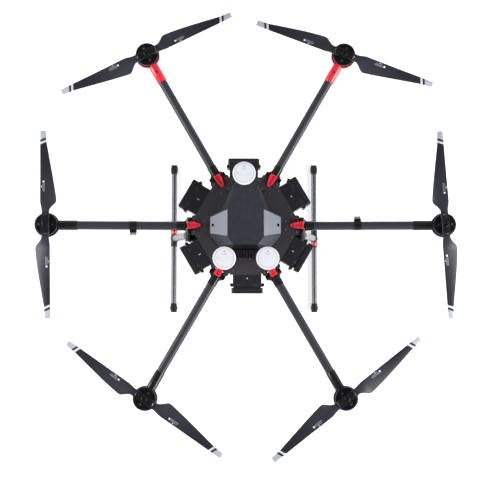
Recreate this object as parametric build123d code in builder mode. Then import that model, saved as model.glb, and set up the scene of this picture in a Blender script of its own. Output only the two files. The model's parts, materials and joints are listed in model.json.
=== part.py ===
from build123d import *
from math import cos, radians, sin
import os

# Folding six-rotor aircraft. Millimetres, +Y forward, +X right, +Z up.
# The origin is on the ground, straight below the middle of the frame.

os.makedirs("parts", exist_ok=True)

# Airframe layout
WHEELBASE = 1133.0                 # motor to opposite motor
PROPELLER_DIAMETER = 533.0
DIHEDRAL = 3.0                     # the arms rise outward by this angle
ARM_ANGLES = {1: 60, 2: 120, 3: 180, 4: 240, 5: 300, 6: 0}
BAY_ANGLES = {1: 90, 2: 150, 3: 210, 4: 270, 5: 330, 6: 30}
HUB_ANGLES = {1: -21.6, 2: 27.0, 3: 90.4, 4: -34.1, 5: 37.4, 6: 94.4}
SPIN_HANDS = {1: 1, 2: -1, 3: 1, 4: -1, 5: 1, 6: -1}    # 1 turns counter-clockwise from above

# Centre frame
PLATE_THICKNESS = 2.0
BOTTOM_PLATE_TOP = 502.0
TOP_PLATE_BOTTOM = 553.0
TOP_PLATE_TOP = TOP_PLATE_BOTTOM + PLATE_THICKNESS
PLATE_GAP = TOP_PLATE_BOTTOM - BOTTOM_PLATE_TOP
TOP_PLATE_APOTHEM = 138.0          # to the edges over the battery bays
TOP_PLATE_ARM_REACH = 147.0        # to the cut corners over the arms
BOTTOM_PLATE_APOTHEM = 134.0
BOTTOM_PLATE_ARM_REACH = 146.0
LOBE_RADIUS = 8.0
LOBE_SIDE = 21.0

# Arm hinge
HINGE_RADIUS = 162.0
HINGE_HEIGHT = 530.0
PIN_RADIUS = 4.0
PIN_CLEARANCE = 0.05
KNUCKLE_RADIUS = 13.5
KNUCKLE_HALF_WIDTH = 14.0
EAR_GAP_HALF = 14.3
EAR_THICKNESS = 4.0
EAR_OUTER = EAR_GAP_HALF + EAR_THICKNESS
CLEVIS_INNER = -36.0               # measured along the arm from the hinge
CLEVIS_OUTER = -15.0

# Arm
TUBE_RADIUS = 12.5
TUBE_WALL = 1.5
SLEEVE_RADIUS = 13.7
SLEEVE_LENGTH = 34.0
TUBE_START = 15.0
MOTOR_ALONG = (WHEELBASE / 2 - HINGE_RADIUS) / cos(radians(DIHEDRAL))
NECK_START = MOTOR_ALONG - 85.0
NECK_RADIUS = 14.2
SOCKET_DEPTH = 20.0
TUBE_END = NECK_START + SOCKET_DEPTH
SIDE_ARMS = (3, 6)                 # these two carry an antenna clip
CLIP_ALONG = 161.0
CLIP_WIDTH = 20.0
CLIP_RADIUS = 16.0

# Motor and folding propeller, heights measured from the tube's axis
DISH_RADIUS = 35.0
DISH_WALL = 2.0
DISH_BOTTOM = -14.0
DISH_FLOOR = -10.0
DISH_TOP = 12.0
STATOR_RADIUS = 30.0
STATOR_CORE_RADIUS = 26.0
SHAFT_RADIUS = 3.95
BELL_RADIUS = 31.0
BELL_WALL = 2.3
BELL_BOTTOM = 14.0
BELL_CAP_RADIUS = 32.2
BELL_CAP_BOTTOM = 26.0
BELL_TOP = 32.0
HUB_PLATE = 2.5
HUB_WIDTH = 22.0
HUB_LENGTH = 68.0
BLADE_PIN_OFFSET = 23.0
BLADE_PIN_RADIUS = 3.0
BLADE_ROOT_THICKNESS = 8.0
BLADE_GAP = 0.3
BLADE_ROOT_BOTTOM = BELL_TOP + HUB_PLATE + BLADE_GAP
BLADE_MID = BLADE_ROOT_BOTTOM + BLADE_ROOT_THICKNESS / 2
TOP_HUB_PLATE = BLADE_ROOT_BOTTOM + BLADE_ROOT_THICKNESS + BLADE_GAP
BLADE_TIP = 266.0
# distance from the hub, leading side, trailing side, thickness, pitch
BLADE_STATIONS = (
    (40, 10.5, 10.5, 6.5, 0),
    (52, 13.0, 19.0, 6.0, 10),
    (60, 14.8, 28.5, 5.0, 17),
    (68, 15.4, 32.0, 4.4, 22),
    (95, 15.2, 27.5, 3.8, 17.5),
    (126, 15.0, 22.0, 3.2, 12.7),
    (180, 15.5, 12.0, 2.6, 9),
    (231, 16.0, 2.4, 2.0, 7),
    (BLADE_TIP, 16.0, -0.6, 1.4, 6),
)

# Batteries and their bays; all bays sit a little to one side of the radial line
BAY_SHIFT = 4.8
BAY_INNER = 82.0
BAY_OUTER = 176.6
BAY_WIDTH = 82.0
BAY_WALL = 2.0
BOSS_ALONG = 170.4
BOSS_SIDE = 44.4
BOSS_RADIUS = 5.2
BATTERY_CLEARANCE = 1.0
GRIP_START = 177.0
GRIP_END = 193.6
GRIP_WIDTH = 90.0
BATTERY_PULL = {1: 0, 2: 0, 3: 0, 4: 1.5, 5: 3.5, 6: 0}    # how far each stands out at rest

# Canopy outlines, right half from nose to tail
CANOPY_RIM_HEIGHT = 572.0
CANOPY_TOP_HEIGHT = 620.0
CANOPY_INNER_SCALE = 0.96
CANOPY_RIM = (
    (32, 118.8), (37, 109), (50, 81), (53, 67), (68, 41), (101, 22), (101, -25.3), (73, -60), (39.6, -72.5)
)
CANOPY_TOP = (
    (27.4, 116), (27.9, 107), (33.6, 79), (41.3, 65), (49.3, 44), (50.3, 40), (50.3, -36.7), (34, -58),
    (31.5, -60.3)
)
# three points of the facet that slopes from the roof down to the nose, below the roof's height
RIDGE_POINTS = ((0, 60, 0), (50, 44, 0), (30, 108, -15))
SIDE_PANEL = ((50.3, 40), (112, 18.1), (112, -25.3), (101, -25.3), (50.3, -36.7))
PANEL_HOLE = (92.6, -1.7)

# Antenna masts
MAST_PLACES = {"front": (-5, 125.5), "left": (-58, -102.5), "right": (58, -102.5)}
MAST_PIVOT_HEIGHT = 568.0
MAST_ROD_RADIUS = 3.0
MAST_PIN_RADIUS = 1.5
DISC_RADIUS = 30.8
DISC_THICKNESS = 13.0
TOTAL_HEIGHT = 727.0

# Landing gear
GEAR_HINGE_X = 163.0
GEAR_HINGE_Y = -22.0                # both legs stand behind the side arms and lean forward
GEAR_HINGE_Z = 470.0
SKID_X = 243.0
SKID_AXIS_Z = 12.0
SKID_HALF_LENGTH = 255.0
SKID_RADIUS = 8.5
DAMPER_RADIUS = 12.0
DAMPER_LENGTH = 30.0
# start, length and radius of each step of a damper, from its inner end
DAMPER_STEPS = ((0, 6, 10.6), (6, 2, 9.4), (8, 14.5, DAMPER_RADIUS), (22.5, 1.8, 9.4), (24.3, 5.7, 10.4))
LEG_RADIUS = 11.0
LEG_KNUCKLE_RADIUS = 14.0
FIT_GAP = 0.05

# Payload mount
RAIL_X = 55.0
RAIL_Z = 480.0
RAIL_RADIUS = 6.0
RAIL_HALF_LENGTH = 105.0
PAYLOAD_PLATE_BOTTOM = 464.0
PAYLOAD_PLATE_THICKNESS = 3.0
PAYLOAD_HOLE_SPACING = 50.0
PAYLOAD_HOLE_RADIUS = 1.6


def save(piece, name):
    """Label a finished piece and write it to its own file."""
    piece.label = name
    export_step(piece, f"parts/{name}.step")


def polar_frame(angle, radius=0.0, height=0.0, rise=0.0, sideways=0.0):
    """Plane with x outward at this angle, y counter-clockwise and z up; rise lifts the x axis."""
    turn = radians(angle)
    lift = radians(rise)
    out = Vector(cos(turn) * cos(lift), sin(turn) * cos(lift), sin(lift))
    side = Vector(-sin(turn), cos(turn), 0)
    centre = Vector(cos(turn) * radius, sin(turn) * radius, height) + side * sideways
    return Plane(origin=centre, x_dir=out, z_dir=out.cross(side))


def lying(frame, along=0.0, side=0.0, up=0.0):
    """Plane parallel to the frame, moved inside it."""
    return Plane(frame.from_local_coords(Vector(along, side, up)), frame.x_dir, frame.z_dir)


def across(frame, along=0.0, side=0.0, up=0.0):
    """Section plane that faces along the frame's x axis, with the frame's y and z as its axes."""
    return Plane(frame.from_local_coords(Vector(along, side, up)), frame.y_dir, frame.x_dir)


def upright(frame, along=0.0, side=0.0, up=0.0):
    """Vertical plane along the frame's x axis, with the frame's x and z as its axes."""
    return Plane(frame.from_local_coords(Vector(along, side, up)), frame.x_dir, -frame.y_dir)


def arm_frame(number):
    """Frame of an arm at its hinge, with x along the tube."""
    return polar_frame(ARM_ANGLES[number], HINGE_RADIUS, HINGE_HEIGHT, DIHEDRAL)


def bay_frame(number):
    """Frame of a battery bay on the ground plane, with x outward."""
    return polar_frame(BAY_ANGLES[number], sideways=BAY_SHIFT)


def rotor_frame(number, turn=0.0):
    """Frame of a rotor on the tube's axis, with x along the propeller blade at rest."""
    arm = lying(arm_frame(number), MOTOR_ALONG)
    heading = radians(HUB_ANGLES[number] + turn)
    flat = Vector(cos(heading), sin(heading), 0)
    along = flat - arm.z_dir * flat.dot(arm.z_dir)
    return Plane(arm.origin, along.normalized(), arm.z_dir)


# ---------------------------------------------------------------- centre frame

def plate_outline(apothem, arm_reach):
    """Hexagon over the battery bays with its corners cut back at the arms."""
    RegularPolygon(apothem, 6, major_radius=False, rotation=0)
    RegularPolygon(arm_reach, 6, major_radius=False, rotation=30, mode=Mode.INTERSECT)


def make_top_plate():
    with BuildPart() as top_plate:
        with BuildSketch(Plane.XY.offset(TOP_PLATE_BOTTOM)):
            plate_outline(TOP_PLATE_APOTHEM, TOP_PLATE_ARM_REACH)
            with Locations((0, -TOP_PLATE_APOTHEM)):
                Rectangle(BAY_WIDTH + 8, 8)
            for angle in ARM_ANGLES.values():
                place = polar_frame(angle)
                for side in (-LOBE_SIDE, LOBE_SIDE):
                    spot = place.from_local_coords(Vector(TOP_PLATE_ARM_REACH, side, 0))
                    with Locations((spot.X, spot.Y)):
                        Circle(LOBE_RADIUS)
            with PolarLocations(96, 6, start_angle=60):
                Circle(4, mode=Mode.SUBTRACT)
        extrude(amount=PLATE_THICKNESS)
    save(top_plate.part, "top_plate")


def make_bottom_plate():
    with BuildPart() as bottom_plate:
        with BuildSketch(Plane.XY.offset(BOTTOM_PLATE_TOP - PLATE_THICKNESS)):
            plate_outline(BOTTOM_PLATE_APOTHEM, BOTTOM_PLATE_ARM_REACH)
            with PolarLocations(100, 6, start_angle=30):
                SlotOverall(60, 16, rotation=90, mode=Mode.SUBTRACT)
            Circle(24, mode=Mode.SUBTRACT)
        extrude(amount=PLATE_THICKNESS)
    save(bottom_plate.part, "bottom_plate")


def make_frame_fittings():
    """Spacer posts with their screws, hinge screws and the three mast brackets."""
    post_radius = 110.0
    post_size = 4.0
    head_radius = 2.6
    head_height = 1.6
    screw_places = ((134.0, 15.0), (146.0, 15.0), (134.0, -15.0), (146.0, -15.0))
    with BuildPart() as fittings:
        with BuildSketch(Plane.XY.offset(BOTTOM_PLATE_TOP)):
            with PolarLocations(post_radius, 6):
                RegularPolygon(post_size, 6)
        extrude(amount=PLATE_GAP)
        with BuildSketch(Plane.XY.offset(TOP_PLATE_TOP)):
            with PolarLocations(post_radius, 6):
                Circle(head_radius)
            for angle in ARM_ANGLES.values():
                place = polar_frame(angle)
                for along, side in screw_places:
                    spot = place.from_local_coords(Vector(along, side, 0))
                    with Locations((spot.X, spot.Y)):
                        Circle(head_radius)
        extrude(amount=head_height)
        for x, y in MAST_PLACES.values():
            base = Plane((x, y, TOP_PLATE_TOP))
            with BuildSketch(base):
                RectangleRounded(20, 12, 3)
            extrude(amount=3)
            with BuildSketch(base.offset(3)):
                with Locations((5.8, 0), (-5.8, 0)):
                    Rectangle(3, 10)
            extrude(amount=MAST_PIVOT_HEIGHT - TOP_PLATE_TOP - 3)
            with BuildSketch(Plane((x, y, MAST_PIVOT_HEIGHT), x_dir=(0, 1, 0), z_dir=(1, 0, 0))):
                Circle(5)
            extrude(amount=7.3, both=True)
            with BuildSketch(Plane((x, y, MAST_PIVOT_HEIGHT), x_dir=(0, 1, 0), z_dir=(1, 0, 0))):
                Rectangle(14, 14)
            extrude(amount=4.3, both=True, mode=Mode.SUBTRACT)
            with BuildSketch(Plane((x, y, MAST_PIVOT_HEIGHT), x_dir=(0, 1, 0), z_dir=(1, 0, 0))):
                Circle(MAST_PIN_RADIUS)
            extrude(amount=7.3, both=True)
    save(fittings.part, "frame_fittings")


def make_arm_hinges():
    """Six clevises between the plates, each with its hinge pin."""
    block_length = CLEVIS_OUTER - CLEVIS_INNER
    ear_radius = 12.0
    head_radius = 7.0
    head_thickness = 3.0
    with BuildPart() as hinges:
        for angle in ARM_ANGLES.values():
            frame = polar_frame(angle, HINGE_RADIUS, HINGE_HEIGHT)
            with BuildSketch(upright(frame)):
                Circle(ear_radius)
                with Locations((CLEVIS_OUTER / 2, 0)):
                    Rectangle(-CLEVIS_OUTER, 2 * ear_radius)
            extrude(amount=EAR_OUTER, both=True)
            with BuildSketch(upright(frame)):
                Rectangle(-2 * CLEVIS_OUTER, 4 * ear_radius)
            extrude(amount=EAR_GAP_HALF, both=True, mode=Mode.SUBTRACT)
            middle = (CLEVIS_INNER + CLEVIS_OUTER) / 2
            with BuildSketch(lying(frame, middle, 0, BOTTOM_PLATE_TOP - HINGE_HEIGHT)):
                Rectangle(block_length, 2 * EAR_OUTER)
            extrude(amount=PLATE_GAP)
            with BuildSketch(upright(frame)):
                Circle(PIN_RADIUS + PIN_CLEARANCE)
            extrude(amount=EAR_OUTER, both=True, mode=Mode.SUBTRACT)
            with BuildSketch(upright(frame)):
                Circle(PIN_RADIUS)
            extrude(amount=EAR_OUTER + FIT_GAP, both=True)
            for side in (-1, 1):
                outer = upright(frame, 0, side * (EAR_OUTER + FIT_GAP + head_thickness / 2))
                with BuildSketch(outer):
                    RegularPolygon(head_radius, 6)
                extrude(amount=head_thickness / 2, both=True)
    save(hinges.part, "arm_hinges")


def make_arm_lock_brackets():
    """Tapered lock covers on the top plate, one over each hinge, with four screw wells in line."""
    inner_end = 128.0
    outer_end = 165.0
    outer_half = 10.0
    inner_half = 5.4
    thickness = 5.0
    well_spacing = 7.5
    with BuildPart() as brackets:
        for angle in ARM_ANGLES.values():
            frame = polar_frame(angle, 0, TOP_PLATE_TOP)
            with BuildSketch(frame) as outline:
                with BuildLine():
                    Polyline(
                        (inner_end, 2.2),
                        (inner_end + 3, inner_half),
                        (152, outer_half),
                        (outer_end, outer_half),
                        (outer_end, -outer_half),
                        (152, -outer_half),
                        (inner_end + 3, -inner_half),
                        (inner_end, -2.2),
                        close=True,
                    )
                make_face()
            extrude(amount=thickness)
            with BuildSketch(lying(frame, (inner_end + outer_end) / 2, 0, thickness - 2)):
                with GridLocations(well_spacing, 1, 4, 1):
                    Circle(2.0)
            extrude(amount=2, mode=Mode.SUBTRACT)
    save(brackets.part, "arm_lock_brackets")


def make_battery_bays():
    """Six open-ended sleeves between the plates, each with two round latch posts at its mouth."""
    post_drop = 2.0
    with BuildPart() as bays:
        for number in BAY_ANGLES:
            frame = bay_frame(number)
            middle = (BAY_INNER + BAY_OUTER) / 2
            with BuildSketch(lying(frame, middle, 0, BOTTOM_PLATE_TOP)):
                Rectangle(BAY_OUTER - BAY_INNER, BAY_WIDTH)
            extrude(amount=PLATE_GAP)
            with BuildSketch(lying(frame, BOSS_ALONG, 0, BOTTOM_PLATE_TOP + post_drop)):
                with Locations((0, BOSS_SIDE), (0, -BOSS_SIDE)):
                    Circle(BOSS_RADIUS)
            extrude(amount=PLATE_GAP - 2 * post_drop)
            with BuildSketch(lying(frame, middle + BAY_WALL, 0, BOTTOM_PLATE_TOP + BAY_WALL)):
                Rectangle(BAY_OUTER - BAY_INNER, BAY_WIDTH - 2 * BAY_WALL)
            extrude(amount=PLATE_GAP - 2 * BAY_WALL, mode=Mode.SUBTRACT)
    save(bays.part, "battery_bays")


def make_battery(number):
    frame = lying(bay_frame(number), BATTERY_PULL[number])
    body_width = BAY_WIDTH - 2 * BAY_WALL - 2 * BATTERY_CLEARANCE
    body_height = PLATE_GAP - 2 * BAY_WALL - 2 * BATTERY_CLEARANCE
    body_bottom = BOTTOM_PLATE_TOP + BAY_WALL + BATTERY_CLEARANCE
    body_inner = BAY_INNER + BAY_WALL + BATTERY_CLEARANCE
    groove_depth = 1.2
    with BuildPart() as battery:
        with BuildSketch(lying(frame, (body_inner + GRIP_START) / 2, 0, body_bottom)):
            Rectangle(GRIP_START - body_inner, body_width)
        extrude(amount=body_height)
        with BuildSketch(lying(frame, (GRIP_START + GRIP_END) / 2, 0, BOTTOM_PLATE_TOP + 1)):
            RectangleRounded(GRIP_END - GRIP_START, GRIP_WIDTH, 2.5)
        extrude(amount=PLATE_GAP - 2)
        grip_top = TOP_PLATE_BOTTOM - 1 - groove_depth
        with BuildSketch(lying(frame, (GRIP_START + GRIP_END) / 2, 0, grip_top)):
            with GridLocations(5, 1, 2, 1):
                Rectangle(1.4, GRIP_WIDTH)
        extrude(amount=groove_depth, mode=Mode.SUBTRACT)
    save(battery.part, f"battery_{number}")


# ---------------------------------------------------------------- canopy and electronics

def both_halves(half, scale=1.0):
    """Closed outline from its right half."""
    right = [(x * scale, y * scale) for x, y in half]
    left = [(-x, y) for x, y in reversed(right)]
    return right + left


def nose_facet(top_height):
    """Plane of the right-hand facet that falls from the roof to the nose."""
    start, side, low = (Vector(x, y, top_height + z) for x, y, z in RIDGE_POINTS)
    return Plane(origin=start, x_dir=side - start, z_dir=(side - start).cross(low - start))


def canopy_form(scale, top_height):
    """Faceted form of the canopy, from the plate to the rim and from the rim to the roof."""
    with BuildPart() as form:
        with BuildSketch(Plane.XY.offset(TOP_PLATE_TOP)):
            Polygon(*both_halves(CANOPY_RIM, scale), align=None)
        extrude(amount=CANOPY_RIM_HEIGHT - TOP_PLATE_TOP)
        with BuildSketch(Plane.XY.offset(CANOPY_RIM_HEIGHT)):
            Polygon(*both_halves(CANOPY_RIM, scale), align=None)
        with BuildSketch(Plane.XY.offset(top_height)):
            Polygon(*both_halves(CANOPY_TOP, scale), align=None)
        loft(ruled=True)
        split(bisect_by=Plane.YZ, keep=Keep.TOP)
        split(bisect_by=nose_facet(top_height), keep=Keep.BOTTOM)
        mirror(about=Plane.YZ)
    return form.part


def canopy_wall():
    """Hollow canopy, open at the plate."""
    with BuildPart() as wall:
        add(canopy_form(1.0, CANOPY_TOP_HEIGHT))
        add(canopy_form(CANOPY_INNER_SCALE, CANOPY_TOP_HEIGHT - 2.5), mode=Mode.SUBTRACT)
    return wall.part


def panel_region():
    """The space that the two side panels take out of the canopy."""
    with BuildPart() as region:
        with BuildSketch(Plane.XY.offset(CANOPY_RIM_HEIGHT - 6)):
            Polygon(*SIDE_PANEL, align=None)
            mirror(about=Plane.YZ)
        extrude(amount=60)
    return region.part


def make_canopy():
    wall = canopy_wall()
    region = panel_region()
    with BuildPart() as shell:
        add(wall)
        add(region, mode=Mode.SUBTRACT)
    save(shell.part, "canopy_shell")
    with BuildPart() as panels:
        add(wall)
        add(region, mode=Mode.INTERSECT)
        for side in (-1, 1):
            with BuildSketch(Plane((side * PANEL_HOLE[0], PANEL_HOLE[1], CANOPY_TOP_HEIGHT))):
                Circle(2.2)
            extrude(amount=-60, mode=Mode.SUBTRACT)
    save(panels.part, "canopy_side_panels")


def make_control_electronics():
    """Flight controller, two inertial units, a receiver, the power hub and the rear port block."""
    port_height = 26.0
    with BuildPart() as electronics:
        with BuildSketch(Plane.XY.offset(TOP_PLATE_TOP)):
            with Locations((0, 0)):
                RectangleRounded(52, 64, 4)
            with Locations((0, 62), (0, 92)):
                RectangleRounded(34, 24, 2)
            with Locations((-72, 0), (72, 0)):
                RectangleRounded(20, 34, 2)
        extrude(amount=15)
        with BuildSketch(Plane.XY.offset(BOTTOM_PLATE_TOP)):
            RegularPolygon(62, 6, major_radius=False, rotation=0)
        extrude(amount=36)
        with BuildSketch(Plane.XY.offset(TOP_PLATE_TOP)):
            Polygon((-32, -73.5), (32, -73.5), (26, -97), (-26, -97), align=None)
        extrude(amount=port_height)
        with BuildSketch(Plane((0, -86, TOP_PLATE_TOP + port_height - 5))):
            with GridLocations(8, 1, 5, 1):
                Rectangle(4, 14)
        extrude(amount=5, mode=Mode.SUBTRACT)
    save(electronics.part, "control_electronics")


# ---------------------------------------------------------------- arms and rotors

def make_arm_root(number):
    frame = arm_frame(number)
    with BuildPart() as root:
        with BuildSketch(upright(frame)):
            Circle(KNUCKLE_RADIUS)
        extrude(amount=KNUCKLE_HALF_WIDTH, both=True)
        with BuildSketch(across(frame)):
            Circle(SLEEVE_RADIUS)
        extrude(amount=SLEEVE_LENGTH)
        with BuildSketch(across(frame, TUBE_START)):
            Circle(TUBE_RADIUS)
        extrude(amount=SLEEVE_LENGTH, mode=Mode.SUBTRACT)
        with BuildSketch(upright(frame)):
            Circle(PIN_RADIUS + PIN_CLEARANCE)
        extrude(amount=KNUCKLE_HALF_WIDTH + 1, both=True, mode=Mode.SUBTRACT)
    save(root.part, f"arm_{number}_root")


def make_arm_tube(number):
    with BuildPart() as tube:
        with BuildSketch(across(arm_frame(number), TUBE_START)):
            Circle(TUBE_RADIUS)
            Circle(TUBE_RADIUS - TUBE_WALL, mode=Mode.SUBTRACT)
        extrude(amount=TUBE_END - TUBE_START)
    save(tube.part, f"arm_{number}_tube")


def make_motor_mount(number):
    """Neck and dish at the arm's end, with the motor's stator standing in the dish."""
    frame = arm_frame(number)
    with BuildPart() as mount:
        with BuildSketch(across(frame, NECK_START)):
            Circle(NECK_RADIUS)
        extrude(amount=MOTOR_ALONG - NECK_START - 20)
        with BuildSketch(lying(frame, MOTOR_ALONG, 0, DISH_BOTTOM)):
            Circle(DISH_RADIUS)
        extrude(amount=DISH_TOP - DISH_BOTTOM)
        with BuildSketch(lying(frame, MOTOR_ALONG, 0, DISH_FLOOR)):
            Circle(DISH_RADIUS - DISH_WALL)
        extrude(amount=30, mode=Mode.SUBTRACT)
        with BuildSketch(across(frame, NECK_START)):
            Circle(TUBE_RADIUS)
        extrude(amount=SOCKET_DEPTH, mode=Mode.SUBTRACT)
        with BuildSketch(lying(frame, MOTOR_ALONG, 0, DISH_FLOOR + FIT_GAP)):
            Circle(STATOR_RADIUS)
        extrude(amount=BELL_BOTTOM - 1.5 - DISH_FLOOR)
        with BuildSketch(lying(frame, MOTOR_ALONG, 0, BELL_BOTTOM - 2)):
            Circle(STATOR_CORE_RADIUS)
        extrude(amount=12)
        with BuildSketch(lying(frame, MOTOR_ALONG, 0, DISH_FLOOR + 1)):
            Circle(SHAFT_RADIUS + PIN_CLEARANCE)
        extrude(amount=40, mode=Mode.SUBTRACT)
        if number in SIDE_ARMS:
            with BuildSketch(across(frame, CLIP_ALONG - CLIP_WIDTH / 2)):
                Circle(CLIP_RADIUS)
                with Locations((CLIP_RADIUS + 4, -2)):
                    Rectangle(16, 12)
                Circle(TUBE_RADIUS + FIT_GAP, mode=Mode.SUBTRACT)
            extrude(amount=CLIP_WIDTH)
    save(mount.part, f"arm_{number}_motor_mount")


def make_rotor(number):
    """Motor bell with its shaft, the propeller hub plates and the two blade pins."""
    frame = rotor_frame(number)
    shaft_end = DISH_FLOOR + 3
    cavity = BELL_CAP_BOTTOM + 1
    with BuildPart() as rotor:
        with BuildSketch(upright(frame)):
            with BuildLine():
                Polyline(
                    (0, shaft_end),
                    (SHAFT_RADIUS, shaft_end),
                    (SHAFT_RADIUS, cavity),
                    (BELL_RADIUS - BELL_WALL, cavity),
                    (BELL_RADIUS - BELL_WALL, BELL_BOTTOM),
                    (BELL_RADIUS, BELL_BOTTOM),
                    (BELL_RADIUS, BELL_CAP_BOTTOM),
                    (BELL_CAP_RADIUS, BELL_CAP_BOTTOM),
                    (BELL_CAP_RADIUS, BELL_TOP - 1.6),
                    (BELL_CAP_RADIUS - 1.6, BELL_TOP),
                    (0, BELL_TOP),
                    close=True,
                )
            make_face()
        revolve(axis=Axis(frame.origin, frame.z_dir))
        for height in (BELL_TOP, TOP_HUB_PLATE):
            with BuildSketch(lying(frame, 0, 0, height)):
                SlotOverall(HUB_LENGTH, HUB_WIDTH)
            extrude(amount=HUB_PLATE)
        with BuildSketch(lying(frame, 0, 0, BELL_TOP)):
            Circle(10.5)
            with Locations((BLADE_PIN_OFFSET, 0), (-BLADE_PIN_OFFSET, 0)):
                Circle(BLADE_PIN_RADIUS)
        extrude(amount=TOP_HUB_PLATE - BELL_TOP)
        with BuildSketch(lying(frame, 0, 0, TOP_HUB_PLATE + HUB_PLATE)):
            Circle(7)
            with Locations((BLADE_PIN_OFFSET, 0), (-BLADE_PIN_OFFSET, 0)):
                Circle(4.6)
        extrude(amount=2)
    save(rotor.part, f"rotor_{number}")


def make_blade(number, letter):
    """Folding blade, lofted through cambered sections; the hand says which side leads."""
    frame = rotor_frame(number, 0 if letter == "a" else 180)
    hand = SPIN_HANDS[number]
    root_end = 42.0
    with BuildPart() as blade:
        for along, lead, trail, thickness, pitch in BLADE_STATIONS:
            tilt = radians(pitch)
            front = Vector(hand * lead * cos(tilt), lead * sin(tilt))
            back = Vector(-hand * trail * cos(tilt), -trail * sin(tilt))
            middle = (front + back) / 2
            normal = Vector(-hand * sin(tilt), cos(tilt))
            with BuildSketch(across(frame, along, 0, BLADE_MID)):
                with BuildLine():
                    ThreePointArc(front, middle + normal * (0.7 * thickness), back)
                    ThreePointArc(back, middle - normal * (0.3 * thickness), front)
                make_face()
        loft(ruled=True)
        with BuildSketch(lying(frame, BLADE_PIN_OFFSET, 0, BLADE_ROOT_BOTTOM)):
            Circle(HUB_WIDTH / 2)
            with Locations(((root_end - BLADE_PIN_OFFSET) / 2, 0)):
                Rectangle(root_end - BLADE_PIN_OFFSET, HUB_WIDTH)
        extrude(amount=BLADE_ROOT_THICKNESS)
        with BuildSketch(lying(frame, BLADE_PIN_OFFSET, 0, BLADE_ROOT_BOTTOM - 1)):
            Circle(BLADE_PIN_RADIUS + PIN_CLEARANCE)
        extrude(amount=BLADE_ROOT_THICKNESS + 2, mode=Mode.SUBTRACT)
    save(blade.part, f"blade_{number}{letter}")


# ---------------------------------------------------------------- masts

def make_mast(name):
    """Antenna mast: knuckle, rod and the round antenna housing on top."""
    x, y = MAST_PLACES[name]
    disc_bottom = TOTAL_HEIGHT - DISC_THICKNESS
    with BuildPart() as mast:
        with BuildSketch(Plane((x, y, MAST_PIVOT_HEIGHT), x_dir=(0, 1, 0), z_dir=(1, 0, 0))):
            Circle(4.4)
        extrude(amount=4, both=True)
        with BuildSketch(Plane((x, y, MAST_PIVOT_HEIGHT))):
            Circle(MAST_ROD_RADIUS)
        extrude(amount=disc_bottom - MAST_PIVOT_HEIGHT)
        with BuildSketch(Plane((x, y, disc_bottom - 8))):
            Circle(8)
        extrude(amount=8)
        with BuildSketch(Plane((x, y, disc_bottom))):
            Circle(DISC_RADIUS)
        extrude(amount=DISC_THICKNESS)
        top_edge = mast.edges().group_by(Axis.Z)[-1]
        fillet(top_edge, radius=2.5)
        with BuildSketch(Plane((x, y, MAST_PIVOT_HEIGHT), x_dir=(0, 1, 0), z_dir=(1, 0, 0))):
            Circle(MAST_PIN_RADIUS + PIN_CLEARANCE)
        extrude(amount=5, both=True, mode=Mode.SUBTRACT)
    save(mast.part, f"antenna_mast_{name}")


# ---------------------------------------------------------------- landing gear

SIDES = {"left": -1, "right": 1}


def gear_frame(side):
    """Frame at a leg's hinge, with x outward."""
    hinge = (side * GEAR_HINGE_X, GEAR_HINGE_Y, GEAR_HINGE_Z)
    return Plane(hinge, x_dir=(side, 0, 0), z_dir=(0, 0, 1))


def leg_frame(side):
    """Frame at a leg's hinge, with x down along the leg."""
    hinge = gear_frame(side).origin
    down = Vector(side * SKID_X, 0, SKID_AXIS_Z) - hinge
    facing = down.cross(Vector(0, side, 0))
    return Plane(hinge, x_dir=down.normalized(), z_dir=facing)


LEG_LENGTH = Vector(SKID_X - GEAR_HINGE_X, -GEAR_HINGE_Y, SKID_AXIS_Z - GEAR_HINGE_Z).length


def make_gear_brackets():
    """Hinge housings with their actuators under the bottom plate."""
    plate_bottom = BOTTOM_PLATE_TOP - PLATE_THICKNESS
    ear_outer = 19.0
    ear_inner = 14.5
    with BuildPart() as brackets:
        for side in SIDES.values():
            frame = gear_frame(side)
            with BuildSketch(upright(frame)):
                Circle(LEG_KNUCKLE_RADIUS)
                with Locations((-8, 0)):
                    Rectangle(16, 2 * LEG_KNUCKLE_RADIUS)
            extrude(amount=ear_outer, both=True)
            with BuildSketch(upright(frame)):
                with Locations((0, 0)):
                    Rectangle(31, 60)
            extrude(amount=ear_inner, both=True, mode=Mode.SUBTRACT)
            with BuildSketch(lying(frame, -30.5, 0, -18)):
                Rectangle(30, 2 * ear_outer)
            extrude(amount=plate_bottom - GEAR_HINGE_Z + 18)
            with BuildSketch(lying(frame, -58, 0, -8)):
                RectangleRounded(25, 44, 3)
            extrude(amount=plate_bottom - GEAR_HINGE_Z + 8)
            with BuildSketch(upright(frame)):
                Circle(PIN_RADIUS + PIN_CLEARANCE)
            extrude(amount=ear_outer, both=True, mode=Mode.SUBTRACT)
            with BuildSketch(upright(frame)):
                Circle(PIN_RADIUS)
            extrude(amount=ear_outer + FIT_GAP, both=True)
            for end in (-1, 1):
                with BuildSketch(upright(frame, 0, end * (ear_outer + FIT_GAP + 1.5))):
                    RegularPolygon(7, 6)
                extrude(amount=1.5, both=True)
    save(brackets.part, "gear_brackets")


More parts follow.
